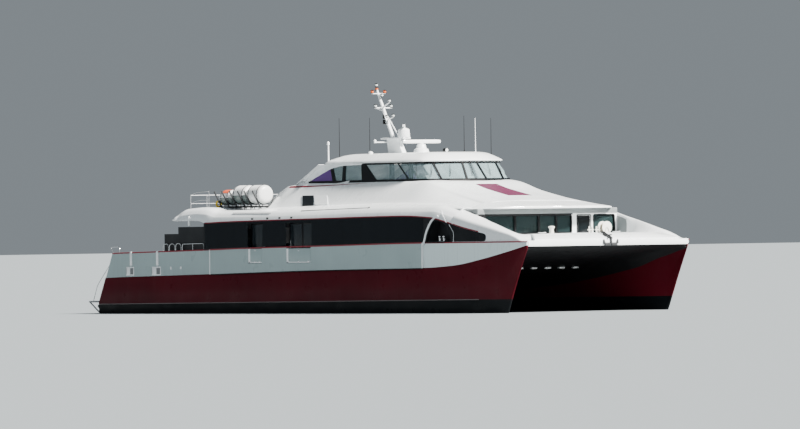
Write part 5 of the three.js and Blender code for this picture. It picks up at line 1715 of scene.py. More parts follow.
# %% Mast
bm = bmesh.new()
pylon = [(0.93, 8.2), (2.2, 8.2), (1.74, 8.93), (1.69, 8.98), (0.84, 8.98), (0.8, 8.94)]
rings = []
for y, shrink in ((-0.14, 0.02), (-0.12, 0.0), (0.12, 0.0), (0.14, 0.02)):
    rings.append([(x + (shrink if x < 1 else -shrink), y, z - (shrink if z > 8.5 else 0))
                  for x, z in pylon])
add_solid(bm, rings)
add_block(bm, (0.4, -0.24, 8.95), (2.42, 0.24, 9.04), bevel=0.02)
TOP_RADAR_X = 2.15
add_turned(bm, (TOP_RADAR_X, 0, 0), UP, ((9.0, 0.27), (9.04, 0.31), (9.1, 0.32), (9.42, 0.29),
                                         (9.47, 0.25), (9.5, 0.16), (9.52, 0.14)), 32)
add_tube(bm, [(0.9, -0.95, 8.8), (0.9, 0.95, 8.8)], 0.03, 10)
add_round(bm, [((1.24, 0, 8.95), 0.1), ((0.16, 0, 10.94), 0.075)], 16)
add_round(bm, [((0.17, 0, 10.9), 0.07), ((-0.2, 0, 11.6), 0.05)], 16)
for y in (-0.07, 0.07):
    add_tube(bm, [(1.5, y * 3, 9.0), (0.5, y, 10.3)], 0.03, 8)
for path, radius in (([(0.36, -0.55, 10.6), (0.36, 0.55, 10.6)], 0.03),
                     ([(0.3, 0, 10.62), (0.95, 0, 10.9)], 0.035),
                     ([(-0.05, -0.44, 11.35), (-0.05, 0.44, 11.35)], 0.025),
                     ([(-0.1, 0, 11.3), (0.25, 0, 11.28)], 0.035),
                     ([(0.45, 0, 10.42), (-0.35, 0, 10.62)], 0.03),
                     ([(0.7, 0, 9.98), (1.25, 0, 10.1)], 0.03)):
    add_tube(bm, path, radius, 10)
for y in (-0.95, 0.95):
    add_turned(bm, (0.9, y, 0), UP, ((8.76, 0.05), (8.78, 0.07), (8.9, 0.07), (8.95, 0.02)), 14)
put("mast_structure", bm, WHITE, replaces="mast")

LAMP_BLACK = Finish("lamp_housing_black", (0.008, 0.008, 0.009), 0.5, gloss=0.3).material
LAMP_AMBER = Finish("lamp_lens_amber", (0.75, 0.13, 0.015), 0.25).material
LAMP_CLEAR = Finish("lamp_lens_clear", (0.62, 0.66, 0.66), 0.2).material
bm = bmesh.new()
# x, y, height, lens: 1 amber, 2 clear
LAMPS = [(0.66, 0.0, 9.78, 2), (0.66, 0.0, 10.06, 2), (0.9, 0.0, 10.88, 2), (0.25, 0.0, 11.18, 2),
         (-0.2, 0.0, 11.52, 1), (-0.22, 0.0, 11.72, 2), (-0.05, -0.4, 11.37, 1),
         (-0.05, 0.4, 11.37, 1), (0.36, -0.5, 10.62, 2), (0.36, 0.5, 10.62, 2),
         (-0.33, 0.0, 10.62, 2), (1.22, 0.0, 10.1, 2)]
for x, y, z, lens in LAMPS:
    for stations, index in (((0.0, 0.08), (0.02, 0.095), (0.035, 0.095)), 0), \
            (((0.035, 0.075), (0.13, 0.075)), lens), \
            (((0.13, 0.095), (0.15, 0.095), (0.175, 0.04)), 0):
        add_turned(bm, (x, y, z), UP, stations, 16, index)
for z0, z1 in ((9.75, 9.98), (10.03, 10.26)):
    add_block(bm, (0.47, -0.13, z0), (0.58, 0.13, z1), 0, 0.015)
add_block(bm, (0.4, -0.06, 9.82), (0.5, 0.06, 9.9), 0)
put("mast_lamps", bm, [LAMP_BLACK, LAMP_AMBER, LAMP_CLEAR])


def scanner(name, x, z0, z1, half, deep, body, node, hub, turn=0.0):
    """Radar bar: an aerofoil section tapering to its tips, on a turning hub."""
    bm = bmesh.new()
    middle = (z0 + z1) / 2
    rings = []
    for y, k in ((-half, 0.72), (0.03 - half, 0.86), (-half * 0.8, 1), (half * 0.8, 1),
                 (half - 0.03, 0.86), (half, 0.72)):
        tall = (z1 - z0) / 2 * k
        rings.append([(dx * deep * k, y, middle + dz * tall) for dx, dz in
                      ((-1, -0.8), (0.7, -1), (1, -0.4), (1, 0.4), (0.7, 1), (-1, 0.8))])
    add_solid(bm, rings)
    add_turned(bm, (0, 0, 0), UP, ((hub, deep * 1.15), (hub + 0.03, deep * 1.2),
                                   (z0 + 0.02, deep * 0.9)), 24)
    bmesh.ops.rotate(bm, verts=bm.verts, matrix=Matrix.Rotation(math.radians(turn), 3, "Z"))
    bmesh.ops.translate(bm, verts=bm.verts, vec=(x, 0, 0))
    put(name, bm, WHITE, body, angle=35, replaces=node)


scanner("radar_scanner_main", RADAR_X, 8.7, 8.88, 1.2, 0.1, "radar_main", "radar_bar_main", 8.662)
scanner("radar_scanner_top", TOP_RADAR_X, 9.576, 9.706, 0.6, 0.07, "radar_top", "radar_bar_top",
        9.528, turn=53.9)

# whip aerials: x, y, foot height, length, 0 black or 1 white
WHIPS = [(6.18, 0.9, 8.17, 1.9, 0), (6.07, 1.7, 8.1, 1.85, 1), (6.75, 2.2, 7.88, 2.05, 0),
         (-0.67, -2.1, 7.9, 2.2, 0), (1.2, -1.5, 8.17, 1.9, 0)]
bm = bmesh.new()
for x, y, z, length, pale in WHIPS:
    add_turned(bm, (x, y, z), UP, ((0, 0.04), (0.12, 0.035), (0.14, 0.02), (0.6, 0.018),
                                   (length, 0.011)), 10, pale)
put("whip_aerials", bm, [LAMP_BLACK, WHITE])

# searchlight, stern light post, two domes
bm = bmesh.new()
add_turned(bm, (6.3, -0.4, 0), UP, ((8.1, 0.06), (8.22, 0.05)), 16, 0)
add_turned(bm, (0, -0.4, 8.3), ALONG, ((6.16, 0.07), (6.2, 0.1), (6.4, 0.11), (6.43, 0.1)), 20, 0)
add_turned(bm, (0, -0.4, 8.3), ALONG, ((6.425, 0.092), (6.436, 0.08)), 20, 2)
add_turned(bm, (-1.6, -2.15, 0), UP, ((7.5, 0.06), (7.6, 0.05), (8.7, 0.035), (8.72, 0.07),
                                      (8.84, 0.07), (8.9, 0.02)), 14, 1)
for y in (1.35, -1.75):
    add_turned(bm, (1.6, y, 0), UP, ((8.14, 0.13), (8.2, 0.14), (8.3, 0.10), (8.34, 0.0)), 20, 1)
put("roof_fittings", bm, [LAMP_BLACK, WHITE, LAMP_CLEAR])
print("mast lamps:", len(LAMPS), "whips:", len(WHIPS))

# %% [markdown]
# Three life rafts lie in a row each side of the bonnet, in ribbed canisters strapped to inclined
# cradles. A canister is a turned shape in two halves with a joint flange at its waist. The upper
# halves are white; the lower halves of the two aft ones are painted grey-green as painted shade.

# %% Life rafts
RAFT_WHITE = boat_paint("raft_canister_grp", (0.76, 0.77, 0.76), 0.35, 0.0, 0.10)
RAFT_LOWER_SHADE = boat_paint("raft_lower_half_painted_shade", (0.10, 0.13, 0.125), 0.4, 0.0, 0.10)
RAFT_ORANGE = boat_paint("raft_orange_band", (0.62, 0.10, 0.035), 0.45, 0.0, 0.1, 0.0)
STRAP = Finish("webbing_strap_dark", (0.03, 0.03, 0.035), 0.85).material
RAFT_Y = 3.55
# name, aft end, forward end, radius, height of its axis
RAFTS = [("forward", -6.5, -5.25, 0.5, 6.2), ("middle", -7.85, -6.6, 0.5, 6.2),
         ("aft", -9.15, -8.1, 0.4, 6.08)]


def canister(x0, x1, radius):
    """Stations of a canister from x0 to x1: (x, radius) pairs."""
    line = [(x0, 0.0), (x0 + 0.004, radius * 0.5), (x0 + 0.02, radius * 0.72),
            (x0 + 0.07, radius * 0.9), (x0 + 0.13, radius * 0.965)]
    ribs = 5
    start, end = x0 + 0.16, x1 - 0.16
    for i in range(ribs):
        a = start + (end - start) * i / ribs
        b = start + (end - start) * (i + 1) / ribs
        w = b - a
        line += [(a + w * 0.05, radius * 0.965), (a + w * 0.2, radius * 0.99),
                 (a + w * 0.8, radius * 0.99), (a + w * 0.95, radius * 0.965)]
    line += [(x1 - 0.13, radius * 0.965), (x1 - 0.07, radius * 0.9), (x1 - 0.02, radius * 0.72),
             (x1 - 0.004, radius * 0.5), (x1, 0.0)]
    return line


for side_name, side in SIDES.items():
    for raft_name, x0, x1, radius, z in RAFTS:
        bm = bmesh.new()
        y = side * RAFT_Y
        add_turned(bm, (0, y, z), ALONG, canister(x0, x1, radius), 40, 0)
        # joint flange along the canister at its waist, both sides
        for flank in (-1, 1):
            add_block(bm, (x0 + 0.1, y + flank * radius * 0.96, z - 0.018),
                      (x1 - 0.1, y + flank * (radius + 0.012), z + 0.018), 0, 0.006)
        # painted shade: the lower halves of the two aft canisters are grey-green
        if raft_name != "forward":
            for face in bm.faces:
                if face.calc_center_median().z < z - 0.02:
                    face.material_index = 2
        if raft_name == "aft":
            add_bent(bm, (0, y, z), spread(math.radians(35), math.radians(145), 15),
                     ((x0 + 0.2, radius), (x0 + 0.2, radius * 1.01),
                      (x1 - 0.2, radius * 1.01), (x1 - 0.2, radius)), 1)
        put(f"raft_{raft_name}_{side_name}_canister", bm, [RAFT_WHITE, RAFT_ORANGE, RAFT_LOWER_SHADE],
            angle=35, replaces=f"raft_{raft_name}_{side_name}")

        bm = bmesh.new()
        for x in (x0 + 0.24, x1 - 0.24):
            add_bent(bm, (x, y, z), spread(-0.2, math.pi + 0.2, 25),
                     ((-0.028, radius - 0.01), (-0.028, radius + 0.006),
                      (0.028, radius + 0.006), (0.028, radius - 0.01)))
        put(f"raft_{raft_name}_{side_name}_straps", bm, STRAP)

    # cradle: two beams of I section under six inclined frames
    bm = bmesh.new()
    for y in (3.25, 3.85):
        for reach, z0, z1 in ((0.035, 5.52, 5.53), (0.035, 5.59, 5.6), (0.006, 5.53, 5.59)):
            add_block(bm, (-9.2, side * y - reach, z0), (-5.2, side * y + reach, z1))
    for x in (-9.0, -8.3, -7.6, -6.85, -6.25, -5.5):
        y = side * RAFT_Y
        add_block(bm, (x - 0.035, y - 0.42, 5.555), (x + 0.035, y + 0.42, 5.62), bevel=0.008)
        radius, z = (0.4, 6.08) if x < -8.0 else (0.5, 6.2)
        add_bent(bm, (x, y, z), spread(math.radians(200), math.radians(340), 15),
                 ((-0.03, radius + 0.004), (0.03, radius + 0.004), (0.03, radius + 0.03),
                  (-0.03, radius + 0.03)))
        add_tube(bm, [(x, side * 3.78, 5.5), (x, side * 4.3, 6.4)], 0.042, 8)
        add_tube(bm, [(x, side * 3.15, 5.57), (x, side * 2.97, 6.0)], 0.028, 8)
        for leg in (3.22, 3.88):
            add_tube(bm, [(x, side * leg, 5.57), (x, side * leg, 5.2)], 0.024, 8)
    put(f"raft_cradle_{side_name}_frame", bm, DARK_STEEL,
        replaces=f"raft_cradle_{side_name}")

# a lifebuoy hangs at the aft end of the rafts
BUOY_YELLOW = boat_paint("lifebuoy_yellow", (0.75, 0.52, 0.02), 0.5, 0.0, 0.1, 0.0)
for side_name, side in SIDES.items():
    bm = bmesh.new()
    ring = []
    for a in spread(0, 2 * math.pi, 33)[:-1]:
        ring.append([(-9.6 + 0.05 * math.cos(b), side * 3.6 + (0.15 + 0.05 * math.sin(b)) * math.cos(a),
                      5.75 + (0.15 + 0.05 * math.sin(b)) * math.sin(a))
                     for b in spread(0, 2 * math.pi, 13)[:-1]])
    add_sheet(bm, ring + ring[:1], ring=True)
    put(f"lifebuoy_{side_name}_ring", bm, BUOY_YELLOW)
    bm = bmesh.new()
    add_tube(bm, [(-9.66, side * 3.6, 5.3), (-9.66, side * 3.6, 5.98)], 0.02, 8)
    add_tube(bm, [(-9.66, side * 3.6, 5.92), (-9.57, side * 3.6, 5.92)], 0.012, 8)
    put(f"lifebuoy_{side_name}_post", bm, GALV)
print("rafts:", 2 * len(RAFTS))

# %% [markdown]
# Handrails are the clearest repeat on a boat: round stanchions at one pitch under one or two round
# rails. A Geometry Nodes tree builds them from a route: the route is resampled for the stanchions,
# each of which is a short upright cylinder, and swept with a round profile for the rails.


# %% Rails by Geometry Nodes
def rail_tree():
    """Node group: route curve in, rails and stanchions out."""
    tree = bpy.data.node_groups.new("handrail", "GeometryNodeTree")
    face = tree.interface
    face.new_socket("Geometry", in_out="INPUT", socket_type="NodeSocketGeometry")
    for name, value in (("Height", 0.9), ("Pitch", 1.1), ("Rail Radius", 0.021), ("Middle Rail", 0.5)):
        socket = face.new_socket(name, in_out="INPUT", socket_type="NodeSocketFloat")
        socket.default_value = value
    face.new_socket("Material", in_out="INPUT", socket_type="NodeSocketMaterial")
    face.new_socket("Geometry", in_out="OUTPUT", socket_type="NodeSocketGeometry")
    new, link = tree.nodes.new, tree.links.new
    start, end = new("NodeGroupInput"), new("NodeGroupOutput")

    height, radius = start.outputs["Height"], start.outputs["Rail Radius"]

    def times(socket, share):
        """A socket times a number or another socket."""
        made = new("ShaderNodeMath")
        made.operation = "MULTIPLY"
        link(socket, made.inputs[0])
        if isinstance(share, float):
            made.inputs[1].default_value = share
        else:
            link(share, made.inputs[1])
        return made.outputs[0]

    def upward(rise):
        vector = new("ShaderNodeCombineXYZ")
        link(rise, vector.inputs["Z"])
        return vector.outputs[0]

    def lifted(curve, rise):
        move = new("GeometryNodeSetPosition")
        link(curve, move.inputs["Geometry"])
        link(upward(rise), move.inputs["Offset"])
        return move.outputs["Geometry"]

    def swept(curve, share_of_radius):
        profile = new("GeometryNodeCurvePrimitiveCircle")
        profile.inputs["Resolution"].default_value = 10
        link(times(radius, share_of_radius), profile.inputs["Radius"])
        sweep = new("GeometryNodeCurveToMesh")
        sweep.inputs["Fill Caps"].default_value = True
        link(curve, sweep.inputs["Curve"])
        link(profile.outputs["Curve"], sweep.inputs["Profile Curve"])
        return sweep.outputs["Mesh"]

    to_curve = new("GeometryNodeMeshToCurve")
    link(start.outputs["Geometry"], to_curve.inputs["Mesh"])
    route = to_curve.outputs["Curve"]
    resample = new("GeometryNodeResampleCurve")
    resample.mode = "LENGTH"
    link(route, resample.inputs["Curve"])
    link(start.outputs["Pitch"], resample.inputs["Length"])
    post = new("GeometryNodeMeshCylinder")
    post.inputs["Vertices"].default_value = 10
    link(radius, post.inputs["Radius"])
    link(height, post.inputs["Depth"])
    lift_post = new("GeometryNodeTransform")
    link(post.outputs["Mesh"], lift_post.inputs["Geometry"])
    link(upward(times(height, 0.5)), lift_post.inputs["Translation"])
    place = new("GeometryNodeInstanceOnPoints")
    link(resample.outputs["Curve"], place.inputs["Points"])
    link(lift_post.outputs["Geometry"], place.inputs["Instance"])
    join = new("GeometryNodeJoinGeometry")
    link(swept(lifted(route, height), 1.15), join.inputs[0])
    link(swept(lifted(route, times(height, start.outputs["Middle Rail"])), 0.75), join.inputs[0])
    link(place.outputs["Instances"], join.inputs[0])
    real = new("GeometryNodeRealizeInstances")
    link(join.outputs[0], real.inputs[0])
    paint = new("GeometryNodeSetMaterial")
    link(real.outputs[0], paint.inputs["Geometry"])
    link(start.outputs["Material"], paint.inputs["Material"])
    link(paint.outputs[0], end.inputs[0])
    return tree


RAIL_TREE = rail_tree()


def set_input(modifier, name, value):
    """Sets a node-group input of a modifier by the name of its socket."""
    for item in modifier.node_group.interface.items_tree:
        if item.item_type == "SOCKET" and item.in_out == "INPUT" and item.name == name:
            modifier[item.identifier] = value


def baked(name, base_mesh, tree, inputs):
    """Plain mesh of a node tree run on a mesh."""
    holder = add_object(name + "_source", base_mesh)
    modifier = holder.modifiers.new("nodes", "NODES")
    modifier.node_group = tree
    for key, value in inputs.items():
        set_input(modifier, key, value)
    graph = bpy.context.evaluated_depsgraph_get()
    graph.update()
    made = bpy.data.meshes.new_from_object(holder.evaluated_get(graph), depsgraph=graph)
    made.name = name
    bpy.data.objects.remove(holder)
    return made


def rail(name, routes, material, height=0.9, pitch=1.1, radius=0.021, middle=0.5):
    """Handrail object over one or more routes on the deck."""
    base = bpy.data.meshes.new(name + "_route")
    points, edges = [], []
    for route in routes:
        first = len(points)
        points += [tuple(p) for p in route]
        edges += [(i, i + 1) for i in range(first, len(points) - 1)]
    base.from_pydata(points, edges, [])
    made = baked(name, base, RAIL_TREE, {"Height": height, "Pitch": pitch, "Rail Radius": radius,
                                         "Middle Rail": middle, "Material": material})
    made.materials.clear()
    piece = put(name, made, material)
    print(name, len(made.polygons), "faces")
    return piece


def roof_edge(x, side, inward):
    """Point on the shoulder's slope, a way inward of its crest."""
    top = shoulder_z(x)
    share = inward / max(SHOULDER_Y - foot_y(x), 0.1)
    z = top + (foot_z(x) - top) * min(1, share) - 0.02
    return (x, side * (SHOULDER_Y - inward), z)


# low dark grab rails on the turn of the shoulder, the forward one ending in a knob
for side_name, side in SIDES.items():
    bm = bmesh.new()
    for x0, z0, x1, z1 in ((-6.12, 5.25, -2.65, 5.21), (-0.04, 5.3, 5.89, 5.39)):
        path = []
        for x in steps(x0, x1, 0.4):
            z = z0 + (z1 - z0) * (x - x0) / (x1 - x0)
            path.append((x, side * (side_y(x, z) + 0.05), z))
        ends = [(p[0], p[1] - side * 0.07, p[2] - 0.02) for p in (path[0], path[-1])]
        add_tube(bm, [ends[0]] + path + [ends[1]], 0.016, 8)
        for x, y, z in path[3:-2:4]:
            add_tube(bm, [(x, y, z), (x, y - side * 0.07, z - 0.02)], 0.012, 8)
    x, y, z = path[-1]
    add_turned(bm, (x, y, z), UP, ((-0.1, 0.0), (-0.09, 0.04), (0.0, 0.045), (0.05, 0.03),
                                   (0.055, 0.0)), 14)
    put(f"shoulder_grab_rails_{side_name}", bm, RUBBER)
aft_routes = []
for side in SIDES.values():
    aft_routes.append([roof_edge(x, side, 0.5) for x in steps(-9.6, -11.3, 0.6)])
aft_routes.append([roof_edge(-11.35, 1 if y > 0 else -1, SHOULDER_Y - abs(y))
                   for y in spread(-4.2, 4.2, 15)])
rail("aft_roof_rail", aft_routes, ALLOY, height=0.88, pitch=1.05, radius=0.015)

# %% [markdown]
# The open aft deck lies behind the bulwark. Along it stand low hoop rails, fender posts over
# framed mooring pockets, two small discs, and the stepped stair casings under the roof, painted near
# black as painted shade.

# %% Aft deck
POCKET_GREY = Finish("mooring_pocket_grey", (0.16, 0.17, 0.175), 0.6).material
# painted shade: the stair casings are near black for the shade under the roof's overhang
CASING_SHADE = boat_paint("stair_casing_painted_shade", (0.009, 0.010, 0.012), 0.45, 0.0, 0.1, 0.0, 0.2)
POCKETS = [(-15.53, 0.37), (-13.02, 0.42)]
DISCS = [(-11.65, 2.40), (-10.72, 2.41)]
for side_name, side in SIDES.items():
    repaint(f"stair_casing_{side_name}", CASING_SHADE)

    bm = bmesh.new()
    for x, half in POCKETS:
        skin = skin_y(x)
        for x0, x1, z0, z1 in ((x - half, x + half, 2.02, 2.08), (x - half, x + half, 2.42, 2.48),
                               (x - half, x - half + 0.06, 2.08, 2.42),
                               (x + half - 0.06, x + half, 2.08, 2.42), (x - half, x, 2.06, 2.44)):
            add_block(bm, (x0, side * (skin - 0.02), z0), (x1, side * (skin + 0.03), z1), 0, 0.01)
        add_block(bm, (x, side * (skin + 0.006), 2.05),
                  (x + half - 0.03, side * (skin + 0.018), 2.45), 1)
        # fender post above the pocket, with a thin line down to it
        px = x + 0.11
        add_block(bm, (px - 0.1, side * (skin - 0.03), 2.54),
                  (px + 0.1, side * (skin + 0.055), stripe_z(x) + 0.05), 0, 0.035)
        y = side * (skin + 0.035)
        add_tube(bm, [(px, y, 2.6), (px, y, 2.4)], 0.014, 8)
    for x, z in DISCS:
        add_turned(bm, (x, side * (skin_y(x) + 0.012), z), ACROSS,
                   [(side * out, r) for out, r in
                    ((-0.01, 0.08), (0.012, 0.08), (0.018, 0.07), (0.018, 0.0))], 24)
    put(f"bulwark_fittings_{side_name}", bm, [WHITE, POCKET_GREY])

    # three hoops on the bulwark's top, then a rail on to the stair casing
    bm = bmesh.new()
    for x0 in (-12.5, -11.92, -11.34):
        y = side * (skin_y(x0) - 0.1)
        top = stripe_z(x0) - 0.02
        hoop = [(x0, y, top), (x0, y, top + 0.42), (x0 + 0.5, y, top + 0.42), (x0 + 0.5, y, top)]
        add_tube(bm, arc_path(hoop, 0.22), 0.02, 10)
    y = side * (skin_y(-10) - 0.1)
    add_tube(bm, arc_path([(-10.72, y, 3.2), (-10.72, y, 3.66), (-8.75, y, 3.68), (-8.75, y, 3.2)],
                          0.1), 0.02, 10)
    add_tube(bm, [(-9.75, y, 3.2), (-9.75, y, 3.67)], 0.018, 10)
    y = side * 5.02
    top = raked(-18.5, y, 3.1)
    add_tube(bm, arc_path([top, (-17.8, y, 3.55), (-16.9, y, 3.57), (-16.9, y, 3.15)], 0.2), 0.02, 10)
    add_tube(bm, arc_path([(-19.5, y, 0.66), (-19.1, y, 1.5), top], 0.25), 0.018, 10)
    put(f"aft_hoops_{side_name}", bm, STEEL)

    # inner face frames and a capping along the bulwark
    bm = bmesh.new()
    rows = []
    for x in steps(TRANSOM_X + 0.2, -8.6, 0.5):
        y = skin_y(x)
        z = stripe_z(x) + 0.012
        rows.append([raked(x, side * v, w) for v, w in
                     ((y - 0.17, z - 0.03), (y - 0.17, z), (y + 0.005, z), (y + 0.005, z - 0.03))])
    add_solid(bm, rows)
    for x in steps(-17.0, -8.9, 0.9):
        skin, foot, top = skin_y(x), DECK_Z + 0.05, stripe_z(x) - 0.02
        profile = [(skin - 0.11, foot), (skin - 0.36, foot), (skin - 0.16, top), (skin - 0.11, top)]
        add_solid(bm, [[(x + dx, side * v, w) for v, w in profile] for dx in (-0.008, 0.008)])
    put(f"bulwark_capping_{side_name}", bm, WHITE)

rail("stern_rail", [[(-17.7, y, 2.5) for y in spread(-4.95, 4.95, 12)]], STEEL, height=0.62, pitch=1.1)

bm = bmesh.new()
for side in SIDES.values():
    for x in (-16.6, -14.1):
        base = DECK_Z + 0.05
        y = side * 4.45
        add_block(bm, (x - 0.4, y - 0.13, base), (x + 0.4, y + 0.13, base + 0.02), bevel=0.006)
        for dx in (-0.22, 0.22):
            add_turned(bm, (x + dx, y, base), UP, ((0.01, 0.11), (0.05, 0.09), (0.34, 0.09),
                                                   (0.39, 0.115), (0.43, 0.11), (0.45, 0.0)), 20)
put("aft_bollards", bm, GALV)

bm = bmesh.new()
x0, x1, half, z0, z1 = -8.475, -8.43, 0.66, 2.53, 4.56
add_block(bm, (x0, -half, z0), (x1, 0.08 - half, z1), 0, 0.008)
add_block(bm, (x0, half - 0.08, z0), (x1, half, z1), 0, 0.008)
add_block(bm, (x0, 0.08 - half, z0), (x1, half - 0.08, z0 + 0.18), 0, 0.008)
add_block(bm, (x0, 0.08 - half, z1 - 0.09), (x1, half - 0.08, z1), 0, 0.008)
add_block(bm, (x0 + 0.012, 0.07 - half, z0 + 0.15), (x1 - 0.012, half - 0.07, z1 - 0.07), 1)
put("aft_door_leaf", bm, [ALLOY, DOOR_GLASS], "aft_door_body", replaces="aft_door")
bm = bmesh.new()
for side in SIDES.values():
    add_block(bm, (-8.435, side * 2.16, 3.36), (-8.424, side * 3.64, 4.44), bevel=0.004)
put("aft_bulkhead_windows", bm, TINTED)
print("aft deck fitted")

# %% [markdown]
# Seats fill the saloon in rows on a low plinth. One seat is modelled once, with a shaped cushion,
# a leaning back, a headrest and armrests, and a Geometry Nodes tree puts a copy on every point of
# a small grid of places.

# %% Saloon seats by Geometry Nodes
SEAT_BLUE = Finish("seat_moquette_blue", (0.03, 0.06, 0.13), 0.9)
SEAT_BLUE.bump(SEAT_BLUE.noise(0.01), 0.001)
SEAT_BLUE = SEAT_BLUE.material
SEAT_SHELL = Finish("seat_shell_grey", (0.16, 0.17, 0.18), 0.5).material
SEAT_WIDTH = 0.5
SEAT_FIRST_X = -6.9
SEAT_PITCH = 0.92
SEAT_ROWS = 17
SEAT_BLOCKS = [(-4.2, -2.1), (-1.5, 1.5), (2.1, 4.2)]
SEAT_FLOOR = 2.5


def seat_mesh():
    bm = bmesh.new()
    half = SEAT_WIDTH / 2 - 0.015
    add_block(bm, (0.02, -half, 0.33), (0.46, half, 0.42), 0, 0.03)
    back = [(-0.09, 0.36), (0.015, 0.36), (-0.005, 0.7), (-0.02, 1.05), (-0.05, 1.11), (-0.085, 1.1),
            (-0.1, 1.0), (-0.1, 0.6)]
    add_across(bm, back, (-half, half))
    add_block(bm, (0.06, -0.05, 0.02), (0.4, 0.05, 0.34), 1, 0.01)
    for y in (-half - 0.012, half - 0.022):
        add_block(bm, (0.0, y, 0.56), (0.32, y + 0.034, 0.6), 1, 0.01)
    mesh = mesh_of("seat", bm)
    mesh.materials.append(SEAT_BLUE)
    mesh.materials.append(SEAT_SHELL)
    return mesh


def copies_tree(source):
    """Node group: a copy of one object's mesh on every vertex of the input."""
    tree = bpy.data.node_groups.new("copies_on_points", "GeometryNodeTree")
    tree.interface.new_socket("Geometry", in_out="INPUT", socket_type="NodeSocketGeometry")
    tree.interface.new_socket("Geometry", in_out="OUTPUT", socket_type="NodeSocketGeometry")
    new, link = tree.nodes.new, tree.links.new
    start, end = new("NodeGroupInput"), new("NodeGroupOutput")
    info = new("GeometryNodeObjectInfo")
    info.inputs["Object"].default_value = source
    place = new("GeometryNodeInstanceOnPoints")
    real = new("GeometryNodeRealizeInstances")
    link(start.outputs[0], place.inputs["Points"])
    link(info.outputs["Geometry"], place.inputs["Instance"])
    link(place.outputs["Instances"], real.inputs[0])
    link(real.outputs[0], end.inputs[0])
    return tree


places = []
for row in range(SEAT_ROWS):
    for y0, y1 in SEAT_BLOCKS:
        count = int((y1 - y0) / SEAT_WIDTH)
        first = (y0 + y1) / 2 - (count - 1) * SEAT_WIDTH / 2
        x = SEAT_FIRST_X + row * SEAT_PITCH
        places += [(x, first + k * SEAT_WIDTH, SEAT_FLOOR) for k in range(count)]
one_seat = add_object("one_seat", seat_mesh())
grid = bpy.data.meshes.new("seat_places")
grid.from_pydata(places, [], [])
seats = baked("saloon_seats_mesh", grid, copies_tree(one_seat), {})
bpy.data.objects.remove(one_seat)
seats.materials.clear()
put("saloon_seats", seats, [SEAT_BLUE, SEAT_SHELL], replaces="saloon_seating")
bm = bmesh.new()
add_block(bm, (-7.3, -4.3, 2.501), (8.9, 4.3, 2.52))
put("saloon_floor_plinth", bm, BRIDGE_FLOOR)
print("seats:", len(places))

# %% [markdown]
# At each stern a waterjet comes through the transom: a flanged housing, a steering nozzle on
# two pins, a reversing bucket over it, and a guard platform of tubes above.

# %% Waterjets
JET_Y = 4.12
JET_Z = -0.02
GUARD_X = TRANSOM_X - 1.16
JET_ALLOY = boat_paint("jet_alloy_grey", (0.22, 0.23, 0.235), 0.45, 0.0, 0.3, 0.0)


def add_jet_ring(bm, y, stations):
    """Ring of a jet about its axis: stations are (distance aft of the transom, radius)."""
    add_round(bm, [((TRANSOM_X - dx, y, JET_Z), r) for dx, r in stations], 40)


